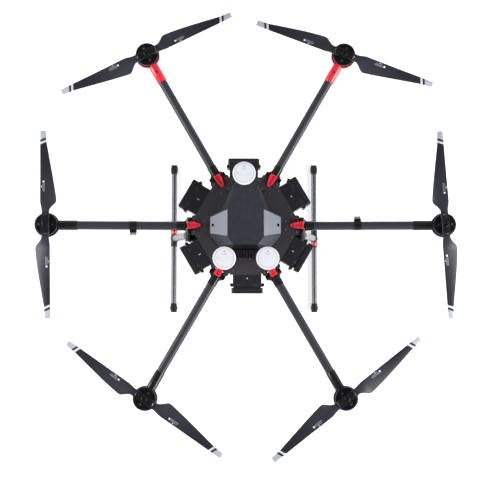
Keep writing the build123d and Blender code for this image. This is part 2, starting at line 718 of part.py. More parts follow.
def make_gear_leg(name):
    """Leg tube in its hinge knuckle."""
    frame = leg_frame(SIDES[name])
    hinge = gear_frame(SIDES[name])
    socket_start = 20.0
    socket_end = 42.0
    tube_wall = 2.0
    tube_end = LEG_LENGTH - 13
    with BuildPart() as leg:
        with BuildSketch(upright(hinge)):
            Circle(LEG_KNUCKLE_RADIUS)
        extrude(amount=14, both=True)
        with BuildSketch(across(frame)):
            Circle(13.5)
        extrude(amount=socket_end)
        with BuildSketch(across(frame, socket_start)):
            Circle(LEG_RADIUS + FIT_GAP)
        extrude(amount=socket_end, mode=Mode.SUBTRACT)
        with BuildSketch(upright(hinge)):
            Circle(PIN_RADIUS + PIN_CLEARANCE)
        extrude(amount=15, both=True, mode=Mode.SUBTRACT)
        with BuildSketch(across(frame, socket_start + FIT_GAP)):
            Circle(LEG_RADIUS)
            Circle(LEG_RADIUS - tube_wall, mode=Mode.SUBTRACT)
        extrude(amount=tube_end - socket_start)
    save(leg.part, f"gear_{name}_leg")


def make_gear_skid(name):
    """Skid tube with its tee, two lock rings and stepped rubber end dampers."""
    side = SIDES[name]
    leg = leg_frame(side)
    skid = Plane((side * SKID_X, 0, SKID_AXIS_Z), x_dir=(1, 0, 0), z_dir=(0, -side, 0))
    tee_start, tee_end = -28.0, 13.8
    tee_radius = 10.6
    rings = ((14.6, 25.0), (25.3, 31.0))
    bore = SKID_RADIUS + FIT_GAP
    with BuildPart() as assembly:
        with BuildSketch(across(leg, LEG_LENGTH - 46)):
            Circle(13.5)
        extrude(amount=40)
        with BuildSketch(skid.offset(tee_start)):
            Circle(tee_radius)
        extrude(amount=tee_end - tee_start)
        with BuildSketch(across(leg, LEG_LENGTH - 60)):
            Circle(LEG_RADIUS + FIT_GAP)
        extrude(amount=60 - 13 + FIT_GAP * 2, mode=Mode.SUBTRACT)
        with BuildSketch(skid):
            Circle(bore)
        extrude(amount=30, both=True, mode=Mode.SUBTRACT)
        for start, end in rings:
            with BuildSketch(skid.offset(start)):
                Circle(tee_radius)
                Circle(bore, mode=Mode.SUBTRACT)
            extrude(amount=end - start)
        with BuildSketch(skid):
            Circle(SKID_RADIUS)
            Circle(SKID_RADIUS - 1.5, mode=Mode.SUBTRACT)
        extrude(amount=SKID_HALF_LENGTH - 2, both=True)
        for end in (-1, 1):
            inner = SKID_HALF_LENGTH - DAMPER_LENGTH
            for start, length, radius in DAMPER_STEPS:
                with BuildSketch(skid.offset(end * (inner + start + length / 2))):
                    Circle(radius)
                extrude(amount=length / 2, both=True)
    save(assembly.part, f"gear_{name}_skid")


# ---------------------------------------------------------------- payload mount

def make_payload_mount():
    """Two rails under the frame and the plate that a payload bolts to."""
    plate_bottom = BOTTOM_PLATE_TOP - PLATE_THICKNESS
    clamp_y = 88.0
    hanger_y = 45.0
    with BuildPart() as payload:
        for x in (-RAIL_X, RAIL_X):
            for y in (-clamp_y, clamp_y):
                with BuildSketch(Plane((x, y, RAIL_Z - 9))):
                    RectangleRounded(20, 12, 2)
                extrude(amount=plate_bottom - RAIL_Z + 9)
            for y in (-hanger_y, hanger_y):
                with BuildSketch(Plane((x, y, PAYLOAD_PLATE_BOTTOM))):
                    RectangleRounded(20, 14, 2)
                extrude(amount=RAIL_Z + 9 - PAYLOAD_PLATE_BOTTOM)
            with BuildSketch(Plane((x, 0, RAIL_Z), x_dir=(1, 0, 0), z_dir=(0, 1, 0))):
                Circle(RAIL_RADIUS + FIT_GAP)
            extrude(amount=RAIL_HALF_LENGTH, both=True, mode=Mode.SUBTRACT)
        with BuildSketch(Plane.XY.offset(PAYLOAD_PLATE_BOTTOM)):
            RectangleRounded(2 * RAIL_X + 20, 2 * hanger_y + 24, 6)
            with GridLocations(PAYLOAD_HOLE_SPACING, PAYLOAD_HOLE_SPACING, 2, 2):
                Circle(PAYLOAD_HOLE_RADIUS, mode=Mode.SUBTRACT)
        extrude(amount=PAYLOAD_PLATE_THICKNESS)
        for x in (-RAIL_X, RAIL_X):
            with BuildSketch(Plane((x, 0, RAIL_Z), x_dir=(1, 0, 0), z_dir=(0, 1, 0))):
                Circle(RAIL_RADIUS)
                Circle(RAIL_RADIUS - 1, mode=Mode.SUBTRACT)
            extrude(amount=RAIL_HALF_LENGTH, both=True)
    save(payload.part, "payload_mount")


make_top_plate()
make_bottom_plate()
make_frame_fittings()
make_arm_hinges()
make_arm_lock_brackets()
make_battery_bays()
make_canopy()
make_control_electronics()
make_gear_brackets()
make_payload_mount()
for arm_number in ARM_ANGLES:
    make_arm_root(arm_number)
    make_arm_tube(arm_number)
    make_motor_mount(arm_number)
    make_rotor(arm_number)
    make_blade(arm_number, "a")
    make_blade(arm_number, "b")
for bay_number in BAY_ANGLES:
    make_battery(bay_number)
for mast_name in MAST_PLACES:
    make_mast(mast_name)
for side_name in SIDES:
    make_gear_leg(side_name)
    make_gear_skid(side_name)
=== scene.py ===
import json
from math import copysign, cos, hypot, pi, radians, sin, tau

import bpy
from mathutils import Matrix, Vector


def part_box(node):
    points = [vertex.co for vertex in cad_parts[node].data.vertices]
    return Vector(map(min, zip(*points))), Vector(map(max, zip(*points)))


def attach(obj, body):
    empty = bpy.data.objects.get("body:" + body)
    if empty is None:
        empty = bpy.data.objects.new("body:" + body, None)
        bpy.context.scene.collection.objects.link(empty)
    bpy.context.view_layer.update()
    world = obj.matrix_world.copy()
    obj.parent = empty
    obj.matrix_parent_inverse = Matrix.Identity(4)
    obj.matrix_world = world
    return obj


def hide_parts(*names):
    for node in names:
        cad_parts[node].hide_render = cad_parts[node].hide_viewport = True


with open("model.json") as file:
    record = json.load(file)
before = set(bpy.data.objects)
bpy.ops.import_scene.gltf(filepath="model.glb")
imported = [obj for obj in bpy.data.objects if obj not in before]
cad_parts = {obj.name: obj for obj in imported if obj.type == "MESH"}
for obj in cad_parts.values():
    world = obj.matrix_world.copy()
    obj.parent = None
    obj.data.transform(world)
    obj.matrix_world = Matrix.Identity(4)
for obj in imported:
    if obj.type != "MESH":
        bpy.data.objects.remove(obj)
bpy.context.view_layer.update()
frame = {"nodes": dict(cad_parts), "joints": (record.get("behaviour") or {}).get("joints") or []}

# Looks of a folding six-rotor aircraft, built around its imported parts.
# Shapes are made in millimetres in a local frame, and placed in metres by that frame's matrix.
MM = 0.001
WHOLE = Matrix.Scale(MM, 4)        # the part's own frame, for shapes in millimetres
JOINTS = {joint["name"]: joint for joint in frame["joints"]}
NODES = frame["nodes"]
ARMS = range(1, 7)
BAYS = range(1, 7)
SIDE_ARMS = (3, 6)
RED_ARMS = (1, 2)
MASTS = ("front", "left", "right")
SIDES = {"left": -1, "right": 1}


# ---------------------------------------------------------------- frames

def local_frame(origin, x_dir, z_dir):
    """Matrix from millimetres in a local frame to metres in the part's frame."""
    up = Vector(z_dir).normalized()
    out = Vector(x_dir)
    out = (out - up * out.dot(up)).normalized()
    turn = Matrix((out, up.cross(out), up)).transposed().to_4x4()
    return Matrix.Translation(origin) @ turn @ Matrix.Scale(MM, 4)


def joint_place(name):
    return Vector(JOINTS[name]["pos_m"])


def arm_frame(number):
    """Frame at an arm's hinge, with x along its tube."""
    hinge = joint_place(f"arm_{number}_fold")
    spin = JOINTS[f"rotor_{number}_spin"]
    return local_frame(hinge, Vector(spin["pos_m"]) - hinge, spin["axis"])


def motor_along(number):
    """Distance from an arm's hinge to its motor, along the tube, in millimetres."""
    return (arm_frame(number).inverted() @ joint_place(f"rotor_{number}_spin")).x


def rotor_frame(number, letter="a"):
    """Frame of a rotor, on the tube's axis, with x along this blade."""
    arm = arm_frame(number)
    origin = arm @ Vector((motor_along(number), 0, 0))
    axis = Vector(JOINTS[f"rotor_{number}_spin"]["axis"])
    return local_frame(origin, joint_place(f"blade_{number}{letter}_fold") - origin, axis)


def radial_frame(number):
    """Frame on the ground under the middle, with x towards an arm's hinge."""
    hinge = joint_place(f"arm_{number}_fold")
    return local_frame((0, 0, 0), (hinge.x, hinge.y, 0), (0, 0, 1))


def battery_pull(number):
    """How far a battery stands out of its bay at rest, in millimetres."""
    return -JOINTS[f"battery_{number}_slide"]["range_m"][0] / MM


def bay_frame(number):
    """Frame on the ground with x along a bay, measured from the middle of the airframe."""
    low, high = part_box(f"battery_{number}")
    out = Vector(JOINTS[f"battery_{number}_slide"]["axis"])
    middle = (low + high) / 2
    inward = (BATTERY_MIDDLE + battery_pull(number)) * MM
    return local_frame(Vector((middle.x, middle.y, 0)) - out * inward, out, (0, 0, 1))


def skid_middle(name):
    """Middle of a skid's tube, in metres."""
    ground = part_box(f"gear_{name}_skid")[0].z
    return Vector((SIDES[name] * SKID_X * MM, 0, ground + DAMPER_RADIUS * MM))


def leg_frame(name):
    """Frame at a leg's hinge, with x down along the leg and y forward or backward."""
    hinge = joint_place(f"gear_{name}_retract")
    down = skid_middle(name) - hinge
    return local_frame(hinge, down, Vector((0, SIDES[name], 0)).cross(down))


def skid_frame(name):
    """Frame at the middle of a skid, with z forward along its tube and x to the right."""
    return local_frame(skid_middle(name), (1, 0, 0), (0, 1, 0))


# ---------------------------------------------------------------- dimensions

BATTERY_MIDDLE = 139.3
PLATE_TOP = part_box("top_plate")[1].z / MM
PLATE_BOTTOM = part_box("top_plate")[0].z / MM
FLOOR_PLATE_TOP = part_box("bottom_plate")[1].z / MM

SCREW_SPOTS = ((130.3, 33), (145, 18.8), (113.9, 12.5))    # along each arm's line, and beside it

TUBE_RADIUS = 12.5
SLEEVE_RADIUS = 13.7
SLEEVE_END = 34.0
NECK_LENGTH = 85.0
NECK_RADIUS = 14.2

DISH_RADIUS = 35.0
DISH_BOTTOM = -14.0
DISH_TOP = 12.0
BELL_RADIUS = 31.0
BELL_BOTTOM = 14.0
CAP_RADIUS = 32.2
CAP_BOTTOM = 26.0
CAP_TOP = 32.0
HUB_WIDTH = 22.0
HUB_LENGTH = 68.0
HUB_PLATE = 2.5
PIN_OFFSET = 23.0
BLADE_BOTTOM = 34.8
BLADE_THICKNESS = 8.0
BLADE_MIDDLE = BLADE_BOTTOM + BLADE_THICKNESS / 2
BLADE_TOP = BLADE_BOTTOM + BLADE_THICKNESS
BLADE_TIP = 266.0
BAND_START = 233.0                 # the white band and the silver tip, along the blade
BAND_END = 239.5
TIP_START = 246.0
MARK_MIDDLE = 104.5                # printed marks run outward from here on one hand, inward on the other

BAY_INNER = 82.0
BAY_OUTER = 176.6
BAY_WIDTH = 82.0
POST_ALONG = 170.4
POST_SIDE = 44.4
POST_RADIUS = 5.2
GRIP_START = 177.0
GRIP_END = 193.6
GRIP_SEAM = 184.2
GRIP_WIDTH = 90.0

RIM_HEIGHT = 572.0
ROOF_HEIGHT = 620.0
# right half of the canopy from nose to tail: the rim and the edge of the roof
RIM = ((32, 118.8), (37, 109), (50, 81), (53, 67), (68, 41), (101, 22), (101, -25.3), (73, -60),
       (39.6, -72.5))
ROOF = ((27.4, 116), (27.9, 107), (33.6, 79), (41.3, 65), (49.3, 44), (50.3, 40), (50.3, -36.7),
        (34, -58), (31.5, -60.3))
RIDGE_CORNER = 4                   # the roof corner where the nose facet ends
PANEL_SIDE = 5                     # the side panel lies on the facet after this corner
PANEL_HOLE = (92.6, -1.7)
# three points of the nose facet, below the height of the roof
RIDGE_START = (0, 60, 0)
RIDGE_SIDE = (50, 44, 0)
RIDGE_LOW = (30, 108, -15)

DISC_RADIUS = 30.8
DISC_THICKNESS = 13.0
MARK_LIFT = 0.12                   # printed marks stand this far off the housing

SKID_X = 243.0
SKID_HALF = 255.0
SKID_RADIUS = 8.5
DAMPER_RADIUS = 12.0
DAMPER_LENGTH = 30.0
DAMPER_BARREL = (8.0, 22.5)        # the thick step of a damper, from its inner end
LEG_RADIUS = 11.0

RAIL_X = 55.0
RAIL_Z = 480.0
RAIL_RADIUS = 6.0


# ---------------------------------------------------------------- mesh making

def circle(radius, count=48, x=0.0, y=0.0, start=0.0, sweep=360.0):
    """Points of a circle, or of an arc when the sweep is less than a full turn."""
    steps = count if sweep >= 360 else count - 1
    turns = (radians(start + sweep * i / steps) for i in range(count))
    return [(x + radius * cos(turn), y + radius * sin(turn)) for turn in turns]


def rectangle(length, width, radius=0.0, x=0.0, y=0.0, steps=5):
    """Outline of a rectangle with rounded corners, counter-clockwise."""
    if not radius:
        corners = ((1, -1), (1, 1), (-1, 1), (-1, -1))
        return [(x + i * length / 2, y + j * width / 2) for i, j in corners]
    points = []
    corners = ((1, -1, -90), (1, 1, 0), (-1, 1, 90), (-1, -1, 180))
    for i, j, start in corners:
        corner_x = x + i * (length / 2 - radius)
        corner_y = y + j * (width / 2 - radius)
        points += circle(radius, steps, corner_x, corner_y, start, 90)
    return points


def slot_outline(length, width, x=0.0, y=0.0, steps=13):
    """Outline with two half-round ends."""
    reach = (length - width) / 2
    right = circle(width / 2, steps, x + reach, y, -90, 180)
    left = circle(width / 2, steps, x - reach, y, 90, 180)
    return right + left


class Shape:
    """A mesh in the making. New faces take the current paint, and points go through the current frame."""

    def __init__(self):
        self.points = []
        self.faces = []
        self.paints = []
        self.paint = 0
        self.frame = Matrix()

    def add(self, points, faces):
        first = len(self.points)
        self.points += [self.frame @ Vector(point) for point in points]
        self.faces += [[first + i for i in face] for face in faces]
        self.paints += [self.paint] * len(faces)

    def skin(self, loops, start_cap=True, end_cap=True, closed=False):
        """Joins loops of the same length one after the other."""
        count = len(loops[0])
        points = [point for loop in loops for point in loop]
        faces = []
        spans = len(loops) if closed else len(loops) - 1
        for i in range(spans):
            low = i * count
            high = (i + 1) % len(loops) * count
            for j in range(count):
                k = (j + 1) % count
                faces.append((low + j, low + k, high + k, high + j))
        if start_cap and not closed:
            faces.append(tuple(range(count - 1, -1, -1)))
        if end_cap and not closed:
            faces.append(tuple(range(len(points) - count, len(points))))
        self.add(points, faces)

    def prism(self, outline, bottom, top):
        self.skin([[(x, y, z) for x, y in outline] for z in (bottom, top)])

    def lathe(self, profile, count=64, closed=False, x=0.0, y=0.0):
        """Turns (radius, height) pairs about z; a closed profile makes a ring."""
        loops = [[(px, py, z) for px, py in circle(r, count, x, y)] for r, z in profile]
        self.skin(loops, closed=closed)

    def rod(self, radius, bottom, top, count=32, x=0.0, y=0.0):
        """Round bar along z."""
        self.lathe([(radius, bottom), (radius, top)], count, x=x, y=y)

    def ring(self, inner, outer, bottom, top, count=64, x=0.0, y=0.0):
        """Round ring with a square section."""
        profile = [(inner, bottom), (outer, bottom), (outer, top), (inner, top)]
        self.lathe(profile, count, True, x, y)

    def tube_ring(self, outer, inner, bottom, top):
        """Wall between two outlines with the same number of points."""
        loops = [[(x, y, bottom) for x, y in outer], [(x, y, top) for x, y in outer]]
        loops += [[(x, y, top) for x, y in inner], [(x, y, bottom) for x, y in inner]]
        self.skin(loops, closed=True)

    def wire(self, path, radius, count=12):
        """Round bar along a path, with flat ends."""
        path = [Vector(point) for point in path]
        side = None
        loops = []
        for i, point in enumerate(path):
            ahead = (path[min(i + 1, len(path) - 1)] - path[max(i - 1, 0)]).normalized()
            if side is None:
                side = ahead.orthogonal().normalized()
            side = (side - ahead * side.dot(ahead)).normalized()
            other = ahead.cross(side)
            loops.append([point + side * a + other * b for a, b in circle(radius, count)])
        self.skin(loops)


def along_x(x=0.0, y=0.0, z=0.0):
    """Frame whose z points along the parent's x, with its x along the parent's y."""
    return Matrix(((0, 0, 1, x), (1, 0, 0, y), (0, 1, 0, z), (0, 0, 0, 1)))


def along_y(x=0.0, y=0.0, z=0.0):
    """Frame whose z points along the parent's y, with its x along the parent's z."""
    return Matrix(((0, 1, 0, x), (0, 0, 1, y), (1, 0, 0, z), (0, 0, 0, 1)))


def moved(x=0.0, y=0.0, z=0.0, turn=0.0):
    return Matrix.Translation((x, y, z)) @ Matrix.Rotation(radians(turn), 4, "Z")


def add_piece(name, shape, place, body, materials, replaces=(), bevel=0.4, local=False):
    """Makes the object, gives it its materials and puts it on its body."""
    mesh = bpy.data.meshes.new(name)
    mesh.from_pydata([place @ point for point in shape.points], [], shape.faces)
    mesh.polygons.foreach_set("material_index", shape.paints)
    if local:
        attribute = mesh.attributes.new("local", "FLOAT_VECTOR", "POINT")
        attribute.data.foreach_set("vector", [c for point in shape.points for c in point])
    piece = bpy.data.objects.new(name, mesh)
    bpy.context.scene.collection.objects.link(piece)
    for material in materials:
        mesh.materials.append(material)
    finish_piece(piece, body, replaces, bevel)
    return piece


def finish_piece(piece, body, replaces=(), bevel=0.4):
    mesh = piece.data
    mesh.shade_smooth()
    mesh.set_sharp_from_angle(angle=radians(32))
    if bevel:
        rounding = piece.modifiers.new("rounded edges", "BEVEL")
        rounding.width = bevel * MM
        rounding.segments = 2
        rounding.limit_method = "ANGLE"
        rounding.angle_limit = radians(32)
        rounding.harden_normals = True
    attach(piece, body)
    if replaces:
        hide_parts(*replaces)


# ---------------------------------------------------------------- materials

class Finish:
    """A procedural material: short calls that add and link its shader nodes."""

    def __init__(self, name, colour, roughness, metallic=0.0, specular=0.3, coat=0.0):
        self.material = bpy.data.materials.new(name)
        self.material.use_nodes = True
        self.tree = self.material.node_tree
        self.shader = self.tree.nodes["Principled BSDF"]
        self.colour = colour
        self.roughness = roughness
        values = {"Base Color": (*colour, 1), "Roughness": roughness, "Metallic": metallic,
                  "Specular IOR Level": specular, "Coat Weight": coat, "Coat Roughness": 0.12}
        for socket, value in values.items():
            self.shader.inputs[socket].default_value = value

    def node(self, kind, values=None, **settings):
        made = self.tree.nodes.new(kind)
        for name, value in settings.items():
            setattr(made, name, value)
        for name, value in (values or {}).items():
            self.put(made.inputs[name], value)
        return made

    def put(self, socket, value):
        if isinstance(value, bpy.types.NodeSocket):
            self.tree.links.new(value, socket)
        else:
            socket.default_value = value

    def math(self, operation, *values):
        made = self.node("ShaderNodeMath", operation=operation)
        for socket, value in zip(made.inputs, values):
            self.put(socket, value)
        return made.outputs[0]

    def dot(self, vector, direction):
        made = self.node("ShaderNodeVectorMath", operation="DOT_PRODUCT")
        self.put(made.inputs[0], vector)
        made.inputs[1].default_value = direction
        return made.outputs["Value"]

    def place(self):
        """Where a point is at rest, in metres."""
        return self.node("ShaderNodeTexCoord").outputs["Object"]

    def local(self):
        """Where a point is in the piece's own frame, in millimetres."""
        made = self.node("ShaderNodeAttribute", attribute_name="local")
        return made.outputs["Vector"]

    def parts(self, vector):
        return self.node("ShaderNodeSeparateXYZ", {"Vector": vector}).outputs

    def noise(self, size, detail=3.0, vector=None):
        """Noise with features of about this size in millimetres."""
        values = {"Vector": vector or self.place(), "Scale": 1 / (size * MM), "Detail": detail}
        return self.node("ShaderNodeTexNoise", values).outputs["Fac"]

    def remap(self, value, low, high, from_low=0.3, from_high=0.7):
        limits = {"From Min": from_low, "From Max": from_high, "To Min": low, "To Max": high}
        return self.node("ShaderNodeMapRange", {"Value": value, **limits}).outputs["Result"]

    def blend(self, factor, first, second):
        made = self.node("ShaderNodeMix", data_type="RGBA")
        self.put(made.inputs["Factor"], factor)
        for name, value in (("A", first), ("B", second)):
            socket = [s for s in made.inputs if s.name == name and s.type == "RGBA"][0]
            self.put(socket, value if isinstance(value, bpy.types.NodeSocket) else (*value, 1))
        return [s for s in made.outputs if s.type == "RGBA"][0]

    def bump(self, height, depth, strength=1.0):
        """Relief of this depth in millimetres."""
        values = {"Height": height, "Distance": depth * MM, "Strength": strength}
        made = self.node("ShaderNodeBump", values)
        before = self.shader.inputs["Normal"]
        if before.is_linked:
            self.tree.links.new(before.links[0].from_socket, made.inputs["Normal"])
        self.tree.links.new(made.outputs["Normal"], before)

    def mottle(self, amount=0.12, size=14.0, spread=0.06):
        """Slow variation of the colour and of the gloss."""
        dark = tuple(c * (1 - amount) for c in self.colour)
        light = tuple(c * (1 + amount) for c in self.colour)
        cloud = self.noise(size)
        self.put(self.shader.inputs["Base Color"], self.blend(self.remap(cloud, 0, 1), dark, light))
        worn = self.remap(self.noise(size * 0.4), self.roughness - spread, self.roughness + spread)
        self.put(self.shader.inputs["Roughness"], worn)

    def weave(self, u, v, dark, light, depth=0.05):
        """Two-by-two twill of flat tows; u and v count tow widths."""
        cell_u = self.math("FLOOR", u)
        cell_v = self.math("FLOOR", v)
        step = self.math("FRACT", self.math("DIVIDE", self.math("ADD", cell_u, cell_v), 4.0))
        over = self.math("LESS_THAN", step, 0.49)
        across_u = self.math("FRACT", u)
        across_v = self.math("FRACT", v)
        difference = self.math("SUBTRACT", across_u, across_v)
        across = self.math("ADD", across_v, self.math("MULTIPLY", over, difference))
        crown = self.math("SINE", self.math("MULTIPLY", across, pi))
        self.put(self.shader.inputs["Base Color"], self.blend(over, dark, light))
        gloss = self.remap(over, self.roughness - 0.05, self.roughness + 0.07, 0, 1)
        self.put(self.shader.inputs["Roughness"], gloss)
        self.bump(crown, depth)


def moulded(name, colour, roughness=0.45, grain=0.5, relief=0.03, specular=0.3, coat=0.0):
    """Moulded plastic with a fine eroded texture; pale colours vary less."""
    finish = Finish(name, colour, roughness, specular=specular, coat=coat)
    finish.mottle(0.03 if max(colour) > 0.15 else 0.12, 14.0, 0.03)
    finish.bump(finish.noise(grain, 2.0), relief)
    return finish.material


def metal(name, colour, roughness=0.3, relief=0.008):
    """Machined metal with a slightly uneven, finely scratched skin."""
    finish = Finish(name, colour, roughness, metallic=1.0)
    finish.mottle(0.08, 9.0, 0.05)
    stretched = finish.node("ShaderNodeMapping", {"Vector": finish.place(), "Scale": (1.0, 1.0, 9.0)})
    finish.bump(finish.noise(1.2, 2.0, stretched.outputs["Vector"]), relief)
    return finish.material


def carbon_sheet():
    """Satin carbon plate with its twill at 45 degrees to the airframe."""
    finish = Finish("carbon sheet", (0.02, 0.018, 0.018), 0.42, specular=0.3)
    tow = 1.4 * MM
    place = finish.place()
    u = finish.dot(place, (1 / tow, 0, 0))
    v = finish.dot(place, (0, 1 / tow, 1 / tow))
    finish.weave(u, v, (0.017, 0.016, 0.018), (0.062, 0.057, 0.063))
    return finish.material


def carbon_tube(name, frame_matrix, radius, colour=(0.040, 0.042, 0.050), gloss=0.25, metallic=0.0):
    """Satin carbon tube; the weave follows this frame's x axis and goes round it."""
    finish = Finish(name, colour, 0.3, metallic, gloss)
    tow = 1.6
    inverse = frame_matrix.inverted()
    place = finish.place()
    # rows of the inverse turn a point in metres into millimetres in the tube's frame
    local = []
    for row in inverse[:3]:
        local.append(finish.math("ADD", finish.dot(place, row[:3]), row[3]))
    turn = finish.math("ARCTAN2", local[1], local[2])
    u = finish.math("MULTIPLY", turn, radius / tow)
    v = finish.math("DIVIDE", local[0], tow)
    light = tuple(c * 1.18 for c in colour)
    dark = tuple(c * 0.85 for c in colour)
    finish.weave(u, v, dark, light, 0.02)
    return finish.material


def blade_finish(hand):
    """Fibre-filled blade, near-black outward with a striped tip, and lighter slate on its inner half as a
    painted reflection.
    """
    slate = (0.030, 0.031, 0.042)
    black = (0.018, 0.019, 0.024)
    name = "right-hand blade" if hand > 0 else "left-hand blade"
    finish = Finish(name, slate, 0.42, specular=0.3)
    along, side = finish.parts(finish.local())[:2]
    # lighter slate near the root fading to black outward: a painted reflection of the light on the
    # pitched inner half
    root_sheen = finish.blend(finish.remap(along, 0, 1, 110, 190), slate, black)
    # the stripes run across the blade at a slant
    slant = finish.math("ADD", along, finish.math("MULTIPLY", side, hand * 0.45))
    white = (0.62, 0.64, 0.68)
    silver = (0.44, 0.46, 0.52)
    past_start = finish.math("GREATER_THAN", slant, BAND_START)
    before_end = finish.math("LESS_THAN", slant, BAND_END)
    tip = finish.math("GREATER_THAN", slant, TIP_START)
    colour = finish.blend(finish.math("MULTIPLY", past_start, before_end), root_sheen, white)
    colour = finish.blend(tip, colour, silver)
    finish.put(finish.shader.inputs["Base Color"], colour)
    worn = finish.remap(finish.noise(6.0), 0.36, 0.48)
    finish.put(finish.shader.inputs["Roughness"], worn)
    finish.bump(finish.noise(0.6, 2.0), 0.02)
    return finish.material


CARBON = carbon_sheet()
BLACK = moulded("black plastic", (0.006, 0.006, 0.007), 0.42)
BLACK_GLOSS = moulded("gloss black plastic", (0.011, 0.011, 0.012), 0.2, relief=0.008, specular=0.4)
BAY = moulded("bay plastic", (0.014, 0.014, 0.018), 0.4, 0.7, 0.05)
# pale grey for the grip's seam: a real seam, lightened as a painted edge highlight
SEAM_HIGHLIGHT = moulded("seam", (0.12, 0.12, 0.135), 0.4)
# the same black plastic as the bay, made lighter as a painted highlight on its raised ribs
RIB_HIGHLIGHT = moulded("bay rib painted highlight", (0.026, 0.026, 0.032), 0.36)
HOLE = moulded("hole shadow", (0.001, 0.001, 0.001), 0.9, specular=0.0)
RUBBER = moulded("rubber", (0.008, 0.008, 0.009), 0.7, 0.9, 0.08)
SLATE = moulded("slate canopy", (0.030, 0.033, 0.043), 0.34, 0.45, 0.02, 0.4)
GREY = moulded("grey panel", (0.13, 0.145, 0.18), 0.3, 0.45, 0.02, 0.5)
WHITE = moulded("white housing", (0.80, 0.83, 0.87), 0.35, 0.5, 0.01)
RED = moulded("red plastic", (0.90, 0.034, 0.060), 0.36, 0.5, 0.02)
RED_METAL = moulded("red lacquer", (0.80, 0.022, 0.042), 0.26, 0.8, 0.008, 0.5, 0.4)
MARK_WHITE = moulded("white print", (0.8, 0.8, 0.8), 0.5, 0.3, 0.004)
MARK_RED = moulded("red print", (0.72, 0.07, 0.07), 0.5, 0.3, 0.004)
FAINT_RED = moulded("faint red print", (0.74, 0.47, 0.46), 0.5, 0.3, 0.004)
MARK_GREY = moulded("grey print", (0.32, 0.33, 0.36), 0.5, 0.3, 0.004)
CAP = moulded("motor cap", (0.005, 0.005, 0.006), 0.3, 0.6, 0.01)
PAD = moulded("cap pad", (0.010, 0.010, 0.012), 0.5, 0.6, 0.02)
HUB = moulded("hub plate", (0.006, 0.006, 0.007), 0.4, 0.6, 0.01)
SILVER = metal("silver band", (0.70, 0.71, 0.73), 0.24)
# steel for the real pins and sockets, and for the arcs by the propeller pins that are a painted highlight
STEEL = metal("steel and painted glint", (0.55, 0.55, 0.57), 0.3)
SCREW = metal("dark screw", (0.10, 0.10, 0.11), 0.4)
DARK_METAL = metal("dark metal", (0.045, 0.045, 0.05), 0.32)
COPPER = metal("copper winding", (0.62, 0.26, 0.11), 0.35)
GOLD = metal("gold contact", (0.83, 0.60, 0.22), 0.28)
BLADES = {hand: blade_finish(hand) for hand in (1, -1)}
RAIL_PLACE = local_frame((RAIL_X * MM, 0, RAIL_Z * MM), (0, 1, 0), (0, 0, 1))
RAIL_TUBE = carbon_tube("rail tube", RAIL_PLACE, RAIL_RADIUS)

# ---------------------------------------------------------------- carried-over parts

def repaint(node, materials, choose=None):
    """Gives a carried-over part its materials; choose says which one a face takes, by its middle."""
    mesh = NODES[node].data
    mesh.materials.clear()
    for material in materials:
        mesh.materials.append(material)
    if choose:
        for face in mesh.polygons:
            face.material_index = choose(face.center / MM)


def fitting_paint(point):
    """Screws are metal, and the masts' feet are plastic."""
    feet = [joint_place(f"mast_{name}_fold").xy / MM for name in MASTS]
    foot_reach = 16
    near = any((point.xy - foot).length < foot_reach for foot in feet)
    return 1 if near and point.z > PLATE_TOP else 0


def repaint_frame():
    repaint("top_plate", [CARBON])
    repaint("bottom_plate", [CARBON])
    repaint("frame_fittings", [SCREW, BLACK], fitting_paint)
    repaint("arm_hinges", [DARK_METAL])
    repaint("control_electronics", [BLACK])
    repaint("payload_mount", [CARBON, BLACK, RAIL_TUBE], payload_paint)
    repaint("gear_brackets", [BLACK, STEEL], bracket_paint)


def payload_paint(point):
    """The plate is carbon, the rails are tubes and their clamps are plastic."""
    plate_top = 467.5
    if point.z < plate_top:
        return 0
    on_rail = hypot(abs(point.x) - RAIL_X, point.z - RAIL_Z) < RAIL_RADIUS + 0.04
    return 2 if on_rail else 1


def bracket_paint(point):
    """The ends of the hinge pins are metal."""
    hinge = joint_place("gear_right_retract") / MM
    head_radius = 7.2
    ear_outer = 19.2
    pin = hypot(abs(point.x) - hinge.x, point.z - hinge.z) < head_radius
    return 1 if pin and abs(point.y - hinge.y) > ear_outer else 0


# ---------------------------------------------------------------- centre frame

def make_plate_screws():
    """Button-head screws along the edges of the top plate, each with its socket."""
    screws = Shape()
    z = PLATE_TOP
    head = [(2.2, z), (2.2, z + 0.4), (1.6, z + 1.0), (1.1, z + 1.2), (1.0, z + 0.6)]
    for number in ARMS:
        place = radial_frame(number)
        for along, side in SCREW_SPOTS:
            for hand in (-1, 1):
                spot = place @ Vector((along, hand * side, 0)) / MM
                screws.lathe(head, 20, x=spot.x, y=spot.y)
    add_piece("top_plate_screws", screws, WHOLE, "frame", [SCREW], bevel=0)


def make_lock_bracket(number):
    """Tapered red cover over an arm's hinge: two raised cheeks and four dark slots in line."""
    cover = Shape()
    z = PLATE_TOP
    inner, shoulder, outer = 128.0, 150.0, 166.0
    tip = circle(5.2, 9, inner + 5.2, 0, 90, 180)
    outline = [(outer, -10), (outer, 10), (shoulder, 10)] + tip + [(shoulder, -10)]
    cover.prism(outline, z, z + 3.4)
    for side in (-1, 1):
        cheek = [(inner + 7, side * 5.0), (shoulder, side * 9.7), (outer - 0.6, side * 9.7),
                 (outer - 0.6, side * 6.3), (shoulder, side * 6.3), (inner + 8, side * 2.9)]
        if side > 0:
            cheek.reverse()
        cover.prism(cheek, z + 3, z + 5.6)
    cover.prism(rectangle(3.2, 12.4, 1, outer - 2.4), z + 3, z + 5.0)
    # the four slots are black prisms laid on the cover: painted shade standing in for the holes
    cover.paint = 1
    for i in range(4):
        cover.prism(slot_outline(4.2, 2.9, inner + 9.5 + 7.4 * i), z + 3.2, z + 3.7)
    add_piece(f"arm_{number}_lock_bracket", cover, radial_frame(number), "frame",
              [RED, BLACK], ["arm_lock_brackets"])


